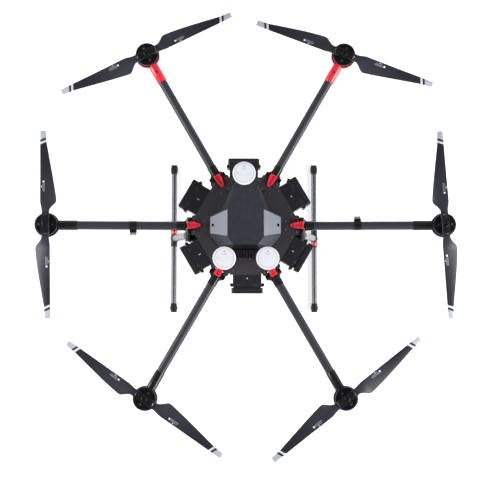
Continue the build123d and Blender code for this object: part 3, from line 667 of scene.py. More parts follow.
def make_hinge_knobs(number):
    """Fluted knobs on the ends of a hinge pin."""
    knobs = Shape()
    hinge = radial_frame(number).inverted() @ joint_place(f"arm_{number}_fold")
    outer = 21.4
    for side in (-1, 1):
        knobs.frame = Matrix.Translation(hinge) @ along_y(0, side * outer, 0)
        if side < 0:
            knobs.frame = knobs.frame @ Matrix.Rotation(pi, 4, "X")
        flutes = []
        for i in range(72):
            turn = tau * i / 72
            radius = 7.4 + 0.45 * cos(12 * turn)
            flutes.append((radius * cos(turn), radius * sin(turn)))
        knobs.prism(flutes, -2.6, 2.6)
        knobs.lathe([(5.2, 2.4), (5.2, 3.4), (2.4, 3.4), (2.2, 2.6)], 32)
    add_piece(f"arm_{number}_hinge_knobs", knobs, radial_frame(number), "frame",
              [BLACK], bevel=0.25)


# ---------------------------------------------------------------- bays and batteries

def sleeve(shape, start, end, width, low, high, wall, radius=3.0):
    """Rectangular sleeve round the x axis, open at both ends."""
    middle = (low + high) / 2
    shape.frame = along_x(0, 0, middle)
    outer = rectangle(width, high - low, radius)
    inner = rectangle(width - 2 * wall, high - low - 2 * wall, max(radius - wall, 0.6))
    shape.tube_ring(outer, inner, start, end)
    shape.frame = Matrix()


def make_bay(number):
    """Battery sleeve between the plates, ribbed on its roof, with round latch posts at its mouth."""
    bay = Shape()
    low, high = FLOOR_PLATE_TOP, PLATE_BOTTOM
    sleeve(bay, BAY_INNER, BAY_OUTER, BAY_WIDTH, low, high, 2, 1.5)
    for side in (-1, 1):
        post = moved(POST_ALONG, side * POST_SIDE)
        bay.frame = post
        bay.lathe([(POST_RADIUS, low + 2), (POST_RADIUS, high - 3), (POST_RADIUS - 1, high - 2)], 32)
        bay.prism(circle(2.2, 6), high - 2.5, high - 1.6)
    bay.frame = Matrix()
    # the raised ribs, pads and cross bar take the lighter rib tone: a painted highlight
    bay.paint = 1
    for side in (-1, 1):
        for place in (7.5, 12.5, 27, 36):
            bay.prism(rectangle(28, 1.1, 0.5, 157, side * place, 3), high - 0.4, high + 0.7)
        bay.prism(rectangle(7, 12, 1.4, 171.2, side * 24), high - 1, high + 0.5)
    bay.prism(rectangle(1.2, 76, 0.5, 142.4, 0, 3), high - 0.4, high + 0.7)
    add_piece(f"battery_bay_{number}", bay, bay_frame(number), "frame",
              [BAY, RIB_HIGHLIGHT], ["battery_bays"], 0.5)
    make_bay_number(number)


def make_bay_number(number):
    """Printed bay numeral on a small raised pad, read from outside."""
    text = bpy.data.curves.new("numeral", "FONT")
    text.body = str(number)
    text.size = 8.5
    text.extrude = 0.12
    text.align_x = "CENTER"
    text.align_y = "CENTER"
    holder = bpy.data.objects.new("numeral", text)
    bpy.context.scene.collection.objects.link(holder)
    bpy.context.view_layer.update()
    mesh = bpy.data.meshes.new_from_object(holder)
    bpy.data.objects.remove(holder)
    pad = 0.75
    turn = moved(152.5, 0, PLATE_BOTTOM + pad, 90)
    mesh.transform(bay_frame(number) @ turn)
    mesh.materials.clear()
    mesh.materials.append(MARK_WHITE)
    numeral = bpy.data.objects.new(f"battery_bay_{number}_numeral", mesh)
    bpy.context.scene.collection.objects.link(numeral)
    finish_piece(numeral, "frame", bevel=0)
    plate = Shape()
    plate.prism(rectangle(11, 12.5, 1.5, 152.5, 0), PLATE_BOTTOM - 0.3, PLATE_BOTTOM + pad)
    add_piece(f"battery_bay_{number}_numeral_pad", plate, bay_frame(number), "frame",
              [BAY], bevel=0.3)


def make_battery(number):
    """Battery pack: cell case with guide rails and contacts, and a two-part grip with a seam."""
    pack = Shape()
    pull = battery_pull(number)
    low, high = FLOOR_PLATE_TOP, PLATE_BOTTOM
    middle = (low + high) / 2
    height = high - low - 2
    pack.frame = along_x(pull, 0, middle)
    pack.prism(rectangle(76, high - low - 6, 3), 85, GRIP_START + 1)
    pack.prism(rectangle(GRIP_WIDTH, height, 5), GRIP_START, GRIP_SEAM)
    pack.prism(rectangle(GRIP_WIDTH - 2.4, height - 2.4, 4), GRIP_SEAM - 0.6, GRIP_SEAM + 1.2)
    loops = []
    for inset, x in ((0.0, GRIP_SEAM + 0.7), (0.0, GRIP_END - 2.2), (2.2, GRIP_END)):
        outline = rectangle(GRIP_WIDTH - 2 * inset, height - 2 * inset, 5 - inset)
        loops.append([(a, b, x) for a, b in outline])
    pack.skin(loops)
    for side in (-1, 1):
        for start in (GRIP_START + 1.6, GRIP_SEAM + 2.4):
            pad = rectangle(3.4, height * 0.5, 1.4, side * (GRIP_WIDTH / 2 - 1.2))
            pack.prism(pad, start, start + 4.4)
        pack.prism(rectangle(1.6, 5, 0.5, side * 38.4), 88, GRIP_START)
    # shallow finger ribs on the outer face
    for i in range(7):
        pack.prism(rectangle(52, 1.2, 0.5, 0, -9 + 3 * i), GRIP_END - 0.8, GRIP_END - 0.05)
    pack.paint = 1
    for side in (-1, 1):
        for row in (-1, 0, 1):
            pack.prism(rectangle(9, 2.4, 0.5, side * 16, row * 7), 84.2, 85.2)
    pack.paint = 2
    for i in range(4):
        pack.prism(rectangle(3.4, 1.5, 0.6, 32, -6 + 4 * i), GRIP_END - 0.4, GRIP_END - 0.05)
    add_piece(f"battery_{number}_pack", pack, bay_frame(number), f"battery_{number}",
              [BAY, GOLD, MARK_GREY], [f"battery_{number}"], 0.5)
    # the seam ring is pale grey: a real seam, lightened as a painted edge highlight
    seam = Shape()
    seam.frame = along_x(pull, 0, middle)
    outer = rectangle(GRIP_WIDTH - 1.0, height - 1.0, 4.5)
    inner = rectangle(GRIP_WIDTH - 5, height - 5, 3)
    seam.tube_ring(outer, inner, GRIP_SEAM + 0.1, GRIP_SEAM + 0.6)
    add_piece(f"battery_{number}_seam", seam, bay_frame(number), f"battery_{number}",
              [SEAM_HIGHLIGHT], bevel=0)


# ---------------------------------------------------------------- canopy

def ridge_plane():
    """A point and the upward normal of the right-hand facet between the roof and the nose."""
    start, side, low = (Vector((x, y, ROOF_HEIGHT + z)) for x, y, z in
                        (RIDGE_START, RIDGE_SIDE, RIDGE_LOW))
    normal = (side - start).cross(low - start)
    return start, normal if normal.z > 0 else -normal


def cut_edge(low, high, origin, normal):
    """Where the edge from low to high meets the plane, or high itself if it stays below."""
    if (high - origin).dot(normal) <= 0:
        return high
    part = (origin - low).dot(normal) / (high - low).dot(normal)
    return low + (high - low) * part


def canopy_corners():
    """Rim corners, roof corners after the nose cut, and the two ends of the ridge, right half."""
    origin, normal = ridge_plane()
    rim = [Vector((x, y, RIM_HEIGHT)) for x, y in RIM]
    roof = [Vector((x, y, ROOF_HEIGHT)) for x, y in ROOF]
    cut = [cut_edge(low, high, origin, normal) for low, high in zip(rim, roof)]
    nose_low = Vector((0, rim[0].y, RIM_HEIGHT))
    nose_high = Vector((0, roof[0].y, ROOF_HEIGHT))
    nose = cut_edge(nose_low, nose_high, origin, normal)
    return rim, cut, nose, origin


def mirrored(points):
    return [Vector((-p.x, p.y, p.z)) for p in reversed(points)]


def make_canopy():
    """Faceted canopy shell, a thin wall open at the plate, without the two side panels' facets."""
    rim, roof, nose, ridge = canopy_corners()
    base = [Vector((p.x, p.y, PLATE_TOP + 0.2)) for p in rim]
    half = [[ridge, nose] + roof[:RIDGE_CORNER + 1]]
    for i in range(len(rim) - 1):
        half.append([base[i], rim[i], rim[i + 1], base[i + 1]])
        if i != PANEL_SIDE:
            half.append([rim[i], roof[i], roof[i + 1], rim[i + 1]])
    faces = [[ridge] + roof[RIDGE_CORNER:] + mirrored(roof[RIDGE_CORNER:])]
    faces += [face[::-1] for face in half]
    faces += [[Vector((-p.x, p.y, p.z)) for p in face] for face in half]
    faces.append(([rim[0], roof[0], nose] + mirrored([rim[0], roof[0]]))[::-1])
    faces.append(([base[0], rim[0]] + mirrored([base[0], rim[0]]))[::-1])
    # the two rear faces take black plastic as painted shade, where the slanted rear wall falls in shadow
    rear_wall = len(faces)
    faces.append([rim[-1], roof[-1]] + mirrored([rim[-1], roof[-1]]))
    faces.append([base[-1], rim[-1]] + mirrored([base[-1], rim[-1]]))
    shell = Shape()
    points = []
    index = {}
    for number, face in enumerate(faces):
        row = []
        for point in face:
            key = tuple(round(c, 3) for c in point)
            if key not in index:
                index[key] = len(points)
                points.append(point)
            row.append(index[key])
        shell.faces.append([v for i, v in enumerate(row) if v != row[i - 1]])
        shell.paints.append(1 if number >= rear_wall else 0)
    shell.points = points
    piece = add_piece("canopy_skin", shell, WHOLE, "frame",
                      [SLATE, BLACK], ["canopy_shell"], bevel=0)
    wall = piece.modifiers.new("wall", "SOLIDIFY")
    wall.thickness = 2.2 * MM
    wall.offset = -1
    rounding = piece.modifiers.new("rounded creases", "BEVEL")
    rounding.width = 1.0 * MM
    rounding.segments = 3
    rounding.angle_limit = radians(6)
    rounding.limit_method = "ANGLE"
    rounding.harden_normals = True
    piece.data.shade_flat()


def make_side_panel(side):
    """Lighter cover panel on the canopy's flank, with its screw hole."""
    rim, roof = canopy_corners()[:2]
    low, high = PANEL_SIDE, PANEL_SIDE + 1
    outline = [rim[low], roof[low], roof[high], rim[high]]
    middle = sum(outline, Vector()) / len(outline)
    normal = (outline[3] - outline[0]).cross(outline[1] - outline[0]).normalized()
    if normal.x < 0:
        normal = -normal
    gap = 0.6
    flat = [p + (middle - p).normalized() * gap for p in outline]
    cover = Shape()
    cover.frame = Matrix.Scale(side, 4, (1, 0, 0))
    loops = [[p - normal * 2.4 for p in flat], [p - normal * 0.1 for p in flat]]
    if side > 0:
        loops.reverse()
    cover.skin(loops)
    name = "right" if side > 0 else "left"
    add_piece(f"canopy_panel_{name}", cover, WHOLE, "frame", [GREY],
              ["canopy_side_panels"], 0.6)
    x, y = PANEL_HOLE
    spot = Vector((x, y, middle.z - normal.x * (x - middle.x) / normal.z))
    grommet = Shape()
    axes = (local_frame((0, 0, 0), (0, 1, 0), normal) @ Matrix.Scale(1 / MM, 4)).to_3x3().to_4x4()
    grommet.frame = Matrix.Scale(side, 4, (1, 0, 0)) @ Matrix.Translation(spot) @ axes
    cup = [(4.4, -0.6), (4.4, 0.3), (3.8, 0.5), (3.0, 0.3), (2.7, 0.0)]
    grommet.lathe(cup if side > 0 else cup[::-1], 32)
    add_piece(f"canopy_panel_{name}_grommet", grommet, WHOLE, "frame",
              [HOLE], bevel=0)


def make_port_block():
    """Raised ribs, sockets and a cover strip on the connector block behind the canopy."""
    ports = Shape()
    top = PLATE_TOP + 26
    for i in range(6):
        ports.prism(rectangle(2.2, 17, 0.6, -20 + 8 * i, -86), top - 0.5, top + 1.3)
    ports.prism(rectangle(56, 2.6, 1, 0, -75.4), top - 0.5, top + 1.6)
    ports.prism(rectangle(48, 2.0, 0.8, 0, -95.6), top - 0.5, top + 1.0)
    ports.paint = 1
    for i in range(3):
        ports.prism(rectangle(9, 1.2, 0.4, -13 + 13 * i, -97.2), PLATE_TOP + 6, PLATE_TOP + 12)
    add_piece("rear_port_ribs", ports, WHOLE, "frame",
              [BAY, STEEL], bevel=0.3)


# ---------------------------------------------------------------- arms and motors

def repaint_arm(number):
    place = arm_frame(number)
    tube = carbon_tube(f"arm {number} tube", place, TUBE_RADIUS)
    repaint(f"arm_{number}_tube", [tube])
    repaint(f"arm_{number}_root", [BLACK_GLOSS])


def make_arm_rings(number):
    """Two lock rings near the arm's root, one at the end of its sleeve."""
    rings = Shape()
    rings.frame = along_x()
    for start, radius in ((SLEEVE_END - 1.5, SLEEVE_RADIUS + 0.5), (12.0, SLEEVE_RADIUS + 0.9)):
        rings.ring(12.6, radius, start, start + 3)
    add_piece(f"arm_{number}_lock_rings", rings, arm_frame(number), f"arm_{number}",
              [BLACK_GLOSS], bevel=0.4)


def make_motor_housing(number):
    """Neck and round dish that carry the motor, with a lip, a status light and a clamp screw."""
    red = number in RED_ARMS
    skin = RED_METAL if red else BLACK_GLOSS
    motor = motor_along(number)
    housing = Shape()
    housing.frame = along_x()
    neck = motor - NECK_LENGTH
    bore = TUBE_RADIUS + 0.1
    hollow = 12.9
    neck_end = motor - 31
    housing.lathe([(bore, neck - 0.2), (NECK_RADIUS - 0.5, neck - 0.2), (NECK_RADIUS, neck + 0.6),
                   (NECK_RADIUS, neck_end), (hollow, neck_end), (hollow, neck + 6), (bore, neck + 6)],
                  64, closed=True)
    housing.frame = moved(motor)
    wall = 2.0
    dish = [(2.2, DISH_BOTTOM), (24, DISH_BOTTOM), (31, DISH_BOTTOM + 1.5), (34.2, DISH_BOTTOM + 6),
            (DISH_RADIUS, -2), (DISH_RADIUS, DISH_TOP - 1), (DISH_RADIUS - 0.6, DISH_TOP),
            (DISH_RADIUS - wall + 0.4, DISH_TOP), (DISH_RADIUS - wall, DISH_TOP - 0.6),
            (DISH_RADIUS - wall, -9), (30, -10), (2.2, -10)]
    housing.lathe(dish, 96, closed=True)
    housing.frame = moved(motor - NECK_LENGTH + 30, 0, NECK_RADIUS - 0.5)
    housing.paint = 1
    housing.lathe([(2.9, 0), (2.9, 0.9), (2.3, 1.3), (1.4, 1.3), (1.3, 0.6)], 24)
    add_piece(f"motor_{number}_housing", housing, arm_frame(number), f"arm_{number}",
              [skin, DARK_METAL],
              [f"arm_{number}_motor_mount"], 0.4)
    make_status_light(number, motor)
    make_stator(number, motor)


def make_status_light(number, motor):
    """Clear strip under the neck that carries the arm's status light, in its bezel."""
    light = Shape()
    light.frame = moved(motor - 52, 0, 0)
    light.prism(slot_outline(44, 9), -NECK_RADIUS - 1.4, -NECK_RADIUS + 3)
    light.paint = 1
    light.prism(slot_outline(38, 4.6), -NECK_RADIUS - 2.0, -NECK_RADIUS - 1.0)
    add_piece(f"motor_{number}_status_light", light, arm_frame(number), f"arm_{number}",
              [BLACK, WHITE], bevel=0.3)


def make_stator(number, motor):
    """Laminated core with twelve wound teeth inside the motor."""
    stator = Shape()
    stator.frame = moved(motor)
    stator.ring(4.6, 15, -9, 20, 48)
    for i in range(12):
        stator.frame = moved(motor) @ moved(turn=30 * i)
        stator.paint = 0
        stator.prism(rectangle(13, 3, 0.4, 20.5), 1, 21)
        stator.prism(rectangle(1.8, 11.5, 0.5, 27.2), 1, 21)
        stator.paint = 1
        stator.prism(rectangle(8.5, 7.5, 2.4, 20.4), -1.5, 23.5)
    add_piece(f"motor_{number}_stator", stator, arm_frame(number), f"arm_{number}",
              [DARK_METAL, COPPER], bevel=0)


def make_antenna_clip(number):
    """Snap-on clip round a side arm, holding a short antenna beside the tube."""
    clip = Shape()
    middle = 161.0
    clip.frame = along_x()
    bore = TUBE_RADIUS + 0.2
    for start, radius, width in ((-10, 13.6, 4), (-6, 13.2, 12), (6, 13.6, 4)):
        clip.ring(bore, radius, middle + start, middle + start + width)
    clip.prism(rectangle(8, 11, 1.2, 16.4, -2), middle - 10, middle + 10)
    clip.paint = 1
    for i in range(4):
        clip.prism(rectangle(7.6, 9, 1.2, 24, -2), middle - 9.4 + 5 * i, middle - 6 + 5 * i)
    clip.prism(rectangle(6, 7, 1.2, 23.4, -2), middle - 9, middle + 9)
    add_piece(f"arm_{number}_antenna_clip", clip, arm_frame(number), f"arm_{number}",
              [BLACK, MARK_GREY], bevel=0.3)


def make_rotor(number):
    """Motor bell with its cap, the propeller's hub plates, pins and small steel studs, and steel arcs by
    the pins that are a painted highlight of their rounded collars.
    """
    rotor = Shape()
    cap_paint, bell_paint, pad_paint, steel_and_glint_paint, hub_paint, edge_paint = range(6)
    rotor.paint = bell_paint
    rotor.ring(BELL_RADIUS - 2.3, BELL_RADIUS, BELL_BOTTOM, CAP_BOTTOM + 0.3, 96)
    rotor.paint = cap_paint
    rotor.lathe([(CAP_RADIUS - 0.8, CAP_BOTTOM), (CAP_RADIUS, CAP_BOTTOM + 0.8),
                 (CAP_RADIUS, CAP_TOP - 2.4), (CAP_RADIUS - 0.7, CAP_TOP - 0.9),
                 (CAP_RADIUS - 2.4, CAP_TOP), (25, CAP_TOP + 0.1), (24.2, CAP_TOP - 0.8),
                 (14, CAP_TOP - 0.8), (13.2, CAP_TOP + 0.1)], 96)
    rotor.rod(3.9, -6, BLADE_TOP, 24)
    for i in range(24):
        rotor.frame = moved(turn=15 * i)
        rotor.prism(rectangle(3.2, 1.0, 0.4, 28.2), CAP_TOP - 0.6, CAP_TOP + 0.35)
    for side in (-1, 1):
        rotor.frame = moved(0, side * 18.2)
        rotor.paint = pad_paint
        rotor.lathe([(5.2, CAP_TOP - 0.9), (5.2, CAP_TOP + 0.6), (4.4, CAP_TOP + 1.0)], 32)
        rotor.paint = steel_and_glint_paint
        rotor.lathe([(1.1, CAP_TOP + 0.8), (1.1, CAP_TOP + 1.7), (0.6, CAP_TOP + 1.8)], 16)
    rotor.frame = Matrix()
    rotor.paint = hub_paint
    rotor.prism(slot_outline(HUB_LENGTH, HUB_WIDTH), CAP_TOP, CAP_TOP + HUB_PLATE)
    rotor.rod(10.3, CAP_TOP + 1, BLADE_TOP + 0.5, 48)
    top = BLADE_TOP + 0.3
    plate = ((0.0, 0.0), (0.0, HUB_PLATE - 0.7), (0.7, HUB_PLATE))
    loops = []
    for inset, height in plate:
        outline = slot_outline(HUB_LENGTH - 2 - 2 * inset, HUB_WIDTH - 1 - 2 * inset)
        loops.append([(x, y, top + height) for x, y in outline])
    rotor.paint = edge_paint
    rotor.skin(loops, end_cap=False)
    rotor.paint = hub_paint
    rotor.add(loops[-1], [tuple(range(len(loops[-1])))])
    rotor.paint = cap_paint
    lid = top + HUB_PLATE
    rotor.lathe([(8.0, lid - 0.3), (8.0, lid + 1.0), (6.8, lid + 1.8), (3.2, lid + 1.8),
                 (3.0, lid + 0.8)], 40)
    for side in (-1, 1):
        pin = side * PIN_OFFSET
        rotor.paint = cap_paint
        rotor.lathe([(4.6, lid - 0.3), (4.6, lid + 1.4), (3.8, lid + 1.9), (2.0, lid + 1.9),
                     (1.9, lid + 1.0)], 6, x=pin)
        rotor.rod(3.0, CAP_TOP + 1, top + 1, 24, pin)
        # a bright steel wire arc by each pin: a painted highlight standing in for the glint on the pin's
        # rounded collar
        rotor.paint = steel_and_glint_paint
        glint_arc = circle(5.6, 11, pin, 0, -60 if side > 0 else 120, 120)
        rotor.wire([(x, y, lid + 0.6) for x, y in glint_arc], 0.6, 8)
    add_piece(f"rotor_{number}_bell", rotor, rotor_frame(number), f"rotor_{number}",
              [CAP, SILVER, PAD, STEEL, HUB, DARK_METAL], [f"rotor_{number}"], 0.2)


BLADE_STATIONS = (
    (24, 10.8, 10.8, 7.6, 0),
    (40, 10.5, 10.5, 6.8, 0),
    (52, 13.0, 19.0, 6.0, 10),
    (60, 14.8, 28.5, 5.0, 17),
    (68, 15.4, 32.0, 4.4, 22),
    (95, 15.2, 27.5, 3.8, 17.5),
    (126, 15.0, 22.0, 3.2, 12.7),
    (180, 15.5, 12.0, 2.6, 9),
    (231, 16.0, 2.4, 2.0, 7),
    (BLADE_TIP, 16.0, -0.6, 1.4, 6),
)


def blade_station(along):
    """Sides, thickness and pitch at a distance along the blade, smoothed between the stations."""
    def straight(distance):
        rows = BLADE_STATIONS
        distance = min(max(distance, rows[0][0]), rows[-1][0])
        for low, high in zip(rows, rows[1:]):
            if distance <= high[0]:
                part = (distance - low[0]) / (high[0] - low[0])
                return Vector([a + (b - a) * part for a, b in zip(low[1:], high[1:])])
    spread = min(4.5, BLADE_TIP - along)
    weights = ((-1.0, 1), (-0.5, 2), (0.0, 3), (0.5, 2), (1.0, 1))
    total = sum((straight(along + spread * step) * weight for step, weight in weights), Vector((0,) * 4))
    return total / sum(weight for step, weight in weights)


def blade_section(along, hand):
    """Closed cambered section; near the hub it fills out into a rounded block."""
    lead, trail, thickness, pitch = blade_station(along)
    round_part = max(0.0, min(1.0, (along - 38) / 24))
    points = []
    count = 20
    for i in range(2 * count):
        turn = pi * i / count
        sharp = 0.45 + 0.55 * round_part
        across = copysign(abs(cos(turn)) ** sharp, cos(turn))
        height = copysign(abs(sin(turn)) ** (0.45 + 0.45 * round_part), sin(turn))
        camber = (1 - across * across) * 0.35 * thickness * round_part
        y = (lead - trail) / 2 + across * (lead + trail) / 2
        z = height * thickness / 2 * (1 - 0.25 * round_part) + camber
        tilt = radians(pitch)
        points.append((along, hand * (y * cos(tilt) - z * sin(tilt)),
                       BLADE_MIDDLE + y * sin(tilt) + z * cos(tilt)))
    return points if hand > 0 else points[::-1]


def make_blade(number, letter):
    """Folding blade with its root eye."""
    hand = 1 if number % 2 else -1
    blade = Shape()
    blade.rod(10.9, BLADE_BOTTOM, BLADE_TOP, 48, PIN_OFFSET)
    distances = [24 + 4 * i for i in range(60)] + [262, 264.6, BLADE_TIP - 0.2]
    loops = [blade_section(distance, hand) for distance in distances]
    blade.skin(loops)
    add_piece(f"blade_{number}{letter}_skin", blade, rotor_frame(number, letter),
              f"blade_{number}{letter}", [BLADES[hand]],
              [f"blade_{number}{letter}"], 0.0, local=True)
    make_blade_mark(number, letter, hand)


def make_blade_mark(number, letter, hand):
    """Plain printed bars and a square near the wide part of the blade, laid on its upper skin."""
    mark = Shape()
    bars = [(92, 116, 2.4, 3.6), (92, 116, 5.4, 6.6), (94, 114, 8.4, 9.2)]
    squares = [(117.5, 122.5, 3.4, 8.4), (104, 107.6, 10.4, 12.4)]
    for paint, patches in enumerate((bars, squares)):
        mark.paint = paint
        for start, end, low, high in patches:
            start, end = sorted(MARK_MIDDLE + hand * (along - MARK_MIDDLE) for along in (start, end))
            loops = []
            for lift in (-0.2, 0.12):
                corners = ((start, low), (end, low), (end, high), (start, high))
                loop = [blade_skin_point(along, side, hand, lift) for along, side in corners]
                loops.append(loop if hand > 0 else loop[::-1])
            mark.skin(loops)
    add_piece(f"blade_{number}{letter}_mark", mark, rotor_frame(number, letter),
              f"blade_{number}{letter}", [MARK_GREY, MARK_WHITE], bevel=0)


def blade_skin_point(along, side, hand, lift):
    """Point on the blade's upper skin, at this distance from its pitch axis."""
    lead, trail, thickness, pitch = blade_station(along)
    across = (side - (lead - trail) / 2) / ((lead + trail) / 2)
    height = (1 - across * across) ** 0.45
    z = height * thickness / 2 * 0.75 + (1 - across * across) * 0.35 * thickness + lift
    tilt = radians(pitch)
    y = side * cos(tilt) - z * sin(tilt)
    return (along, hand * y, BLADE_MIDDLE + side * sin(tilt) + z * cos(tilt))


# ---------------------------------------------------------------- masts

def mast_frame(name):
    """Frame at a mast's hinge, with z up the rod."""
    return local_frame(joint_place(f"mast_{name}_fold"), (1, 0, 0), (0, 0, 1))


def make_mast(name):
    """Antenna mast: knuckle, carbon rod, boss, and the round housing with its printed marks."""
    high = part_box(f"antenna_mast_{name}")[1].z
    pivot = joint_place(f"mast_{name}_fold").z
    top = (high - pivot) / MM - MARK_LIFT
    bottom = top - DISC_THICKNESS
    mast = Shape()
    mast.paint = 1
    mast.frame = along_x()
    mast.rod(4.4, -4, 4)
    mast.frame = Matrix()
    mast.rod(3.0, 1, bottom - 4, 24)
    mast.lathe([(4.3, 3), (4.3, 14), (3.2, 17)], 32)
    mast.lathe([(4.2, bottom - 15), (8.0, bottom - 8), (8.0, bottom + 0.5)], 32)
    mast.paint = 0
    mast.lathe([(24, bottom), (29.4, bottom + 0.6), (30.6, bottom + 2.2), (30.6, bottom + 5.6)], 96)
    mast.rod(30.2, bottom + 5.4, bottom + 6.2, 96)
    mast.lathe([(DISC_RADIUS, bottom + 6.1), (DISC_RADIUS, top - 2.6), (DISC_RADIUS - 0.8, top - 0.9),
                (DISC_RADIUS - 2.6, top - 0.15), (25.9, top - 0.05), (0.8, top)], 96)
    add_piece(f"mast_{name}_antenna", mast, mast_frame(name), f"mast_{name}",
              [WHITE, BLACK], [f"antenna_mast_{name}"], 0.2)
    marks = Shape()
    marks.ring(25.0, 25.5, top - 0.2, top + 0.06, 96)
    marks.prism([(-2.6, 16.4), (2.6, 16.4), (0, 20.6)], top - 0.2, top + 0.1)
    marks.paint = 1
    for width, place in ((15, 12.4), (11, 9.2)):
        marks.prism(rectangle(width, 1.0, 0.2, 0, place, 3), top - 0.2, top + 0.08)
    marks.paint = 2
    marks.prism(rectangle(5.4, 0.9, 0.2, -17.4, 1.0, 3), top - 0.2, top + 0.08)
    add_piece(f"mast_{name}_marks", marks, mast_frame(name), f"mast_{name}",
              [MARK_RED, FAINT_RED, MARK_GREY], bevel=0)


# ---------------------------------------------------------------- landing gear

def make_gear(name):
    side = SIDES[name]
    place = leg_frame(name)
    tube = carbon_tube(f"{name} leg tube", place, LEG_RADIUS, (0.13, 0.135, 0.15), 0.5, 0.7)
    hinge = joint_place(f"gear_{name}_retract") / MM
    socket_end = 42.5
    to_leg = place.inverted()

    def leg_paint(point):
        return 1 if (point - hinge).length < socket_end + 1 and not inside_leg(to_leg, point) else 0

    repaint(f"gear_{name}_leg", [tube, BLACK], leg_paint)
    skid = skid_frame(name)
    skid_tube = carbon_tube(f"{name} skid tube", skid @ along_x().inverted(), SKID_RADIUS,
                            (0.10, 0.104, 0.116), 0.5, 0.8)
    to_skid = skid.inverted()
    repaint(f"gear_{name}_skid", [skid_tube, RUBBER, BLACK, RED_METAL],
            lambda point: skid_paint(side, to_skid @ (point * MM)))
    make_gear_trim(name)


def inside_leg(to_leg, point):
    """True on the leg tube itself, within its socket."""
    local = to_leg @ (point * MM)
    return local.x > 20 and hypot(local.y, local.z) < LEG_RADIUS + 0.02


def skid_paint(side, local):
    """Rubber dampers, bare tube, black tee and one red lock ring."""
    radius = hypot(local.x, local.y)
    if abs(local.z) > SKID_HALF - DAMPER_LENGTH - 0.5:
        return 1
    if radius < SKID_RADIUS + 0.03:
        return 0
    return 3 if 14.3 < -side * local.z < 25.15 else 2


def make_gear_trim(name):
    """Rubber rings on the dampers, and screws and a collar on the leg's socket."""
    trim = Shape()
    start, stop = DAMPER_BARREL
    count = 4
    for end in (-1, 1):
        for i in range(count):
            distance = start + (stop - start) * (i + 0.5) / count
            middle = end * (SKID_HALF - DAMPER_LENGTH + distance)
            trim.lathe([(DAMPER_RADIUS - 1.2, middle - 1.2), (DAMPER_RADIUS - 0.1, middle - 0.9),
                        (DAMPER_RADIUS, middle), (DAMPER_RADIUS - 0.1, middle + 0.9),
                        (DAMPER_RADIUS - 1.2, middle + 1.2)], 48)
    add_piece(f"gear_{name}_damper_rings", trim, skid_frame(name), f"gear_{name}",
              [RUBBER], bevel=0)
    screws = Shape()
    reach = 13.4
    for along in (27, 36):
        for facing in (0, 180):
            screws.frame = moved(along) @ Matrix.Rotation(radians(facing), 4, "X")
            screws.lathe([(2.4, reach - 0.5), (2.4, reach + 1.0), (1.3, reach + 1.2),
                          (1.2, reach + 0.6)], 20)
    screws.frame = along_x()
    screws.lathe([(13.5, 40.5), (14.2, 41), (14.2, 44), (11.2, 45), (11.2, 40.5)], 64, closed=True)
    add_piece(f"gear_{name}_socket_trim", screws, leg_frame(name), f"gear_{name}",
              [DARK_METAL], bevel=0.2)


def make_bracket_trim(name):
    """Actuator cover with cooling ribs, lightening holes and screws on a leg's hinge bracket."""
    side = SIDES[name]
    hinge = joint_place(f"gear_{name}_retract")
    place = local_frame(hinge, (side, 0, 0), (0, 0, 1))
    trim = Shape()
    for i in range(6):
        trim.prism(rectangle(20, 2.0, 0.6, -58, -17.5 + 7 * i), -10.2, -7.5)
    for end in (-1, 1):
        trim.frame = along_y(-30, end * 19, 4) @ Matrix.Rotation(0 if end > 0 else pi, 4, "X")
        for x, z, radius in ((0, 0, 5.5), (14, 0, 3.2), (-12, 0, 3.2)):
            trim.ring(radius - 1.2, radius, -0.2, 0.9, 32, x, z)
    trim.frame = Matrix()
    trim.paint = 1
    for y in (-16, 16):
        trim.lathe([(1.4, -20), (2.6, -19.6), (2.6, -17.5)], 20, x=-30, y=y)
    add_piece(f"gear_{name}_bracket_trim", trim, place, "frame", [BLACK, STEEL],
              bevel=0.25)


# ---------------------------------------------------------------- stage

def make_floor():
    """Plain pale floor."""
    half = 30.0
    mesh = bpy.data.meshes.new("floor")
    corners = [(-half, -half, 0), (half, -half, 0), (half, half, 0), (-half, half, 0)]
    mesh.from_pydata(corners, [], [(0, 1, 2, 3)])
    floor = bpy.data.objects.new("floor", mesh)
    floor.location.z = -0.5 * MM
    bpy.context.scene.collection.objects.link(floor)
    finish = Finish("pale floor", (0.9, 0.905, 0.91), 0.7, specular=0.2)
    finish.mottle(0.01, 400.0, 0.03)
    finish.shader.inputs["Emission Color"].default_value = (1, 1, 1, 1)
    finish.shader.inputs["Emission Strength"].default_value = 0.35
    mesh.materials.append(finish.material)


def add_light(name, place, target, size, power, colour=(1, 1, 1)):
    """Soft rectangular light that faces a point."""
    light = bpy.data.lights.new(name, "AREA")
    light.shape = "RECTANGLE"
    light.size, light.size_y = size
    light.energy = power
    light.color = colour
    lamp = bpy.data.objects.new(name, light)
    lamp.location = place
    facing = Vector(target) - Vector(place)
    lamp.rotation_euler = facing.to_track_quat("-Z", "Y").to_euler()
    lamp.visible_camera = False
    bpy.context.scene.collection.objects.link(lamp)


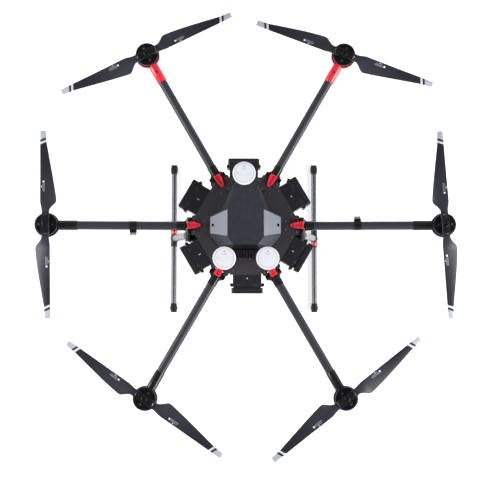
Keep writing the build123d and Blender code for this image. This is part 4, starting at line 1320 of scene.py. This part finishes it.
def light_stage():
    """Softboxes on both sides, in a studio that is pale round the horizon and dark overhead."""
    middle = (0, 0, 0.55)
    add_light("left softbox", (-2.0, 0.0, 1.35), middle, (1.5, 1.1), 50)
    add_light("right softbox", (1.95, -0.75, 1.3), middle, (2.3, 1.1), 80)
    world = bpy.data.worlds.new("studio")
    bpy.context.scene.world = world
    world.use_nodes = True
    nodes = world.node_tree.nodes
    links = world.node_tree.links
    direction = nodes.new("ShaderNodeTexCoord").outputs["Generated"]
    parts = nodes.new("ShaderNodeSeparateXYZ")
    links.new(direction, parts.inputs[0])
    ramp = nodes.new("ShaderNodeValToRGB")
    links.new(parts.outputs["Z"], ramp.inputs["Fac"])
    stops = ((0.05, (0.70, 0.72, 0.76, 1)), (0.85, (0.13, 0.13, 0.14, 1)))
    for stop, (position, colour) in zip(ramp.color_ramp.elements, stops):
        stop.position = position
        stop.color = colour
    links.new(ramp.outputs["Color"], nodes["Background"].inputs["Color"])
    nodes["Background"].inputs["Strength"].default_value = 1.25


def add_camera():
    camera = bpy.data.cameras.new("camera")
    camera.sensor_width = 36.0
    camera.lens = 65.8
    holder = bpy.data.objects.new("camera", camera)
    holder.location = (-0.0221, -0.2150, 3.0761)
    tilt = (3.785, -0.279, 0.017)
    holder.rotation_euler = [radians(angle) for angle in tilt]
    bpy.context.scene.collection.objects.link(holder)
    bpy.context.scene.camera = holder
    bpy.context.scene.view_settings.view_transform = "Standard"


add_camera()
light_stage()
make_floor()
repaint_frame()
make_plate_screws()
make_canopy()
make_port_block()
for side_sign in SIDES.values():
    make_side_panel(side_sign)
for arm_number in ARMS:
    make_lock_bracket(arm_number)
    make_hinge_knobs(arm_number)
    repaint_arm(arm_number)
    make_arm_rings(arm_number)
    make_motor_housing(arm_number)
    make_rotor(arm_number)
    make_blade(arm_number, "a")
    make_blade(arm_number, "b")
for arm_number in SIDE_ARMS:
    make_antenna_clip(arm_number)
for bay_number in BAYS:
    make_bay(bay_number)
    make_battery(bay_number)
for mast_name in MASTS:
    make_mast(mast_name)
for side_name in SIDES:
    make_gear(side_name)
    make_bracket_trim(side_name)
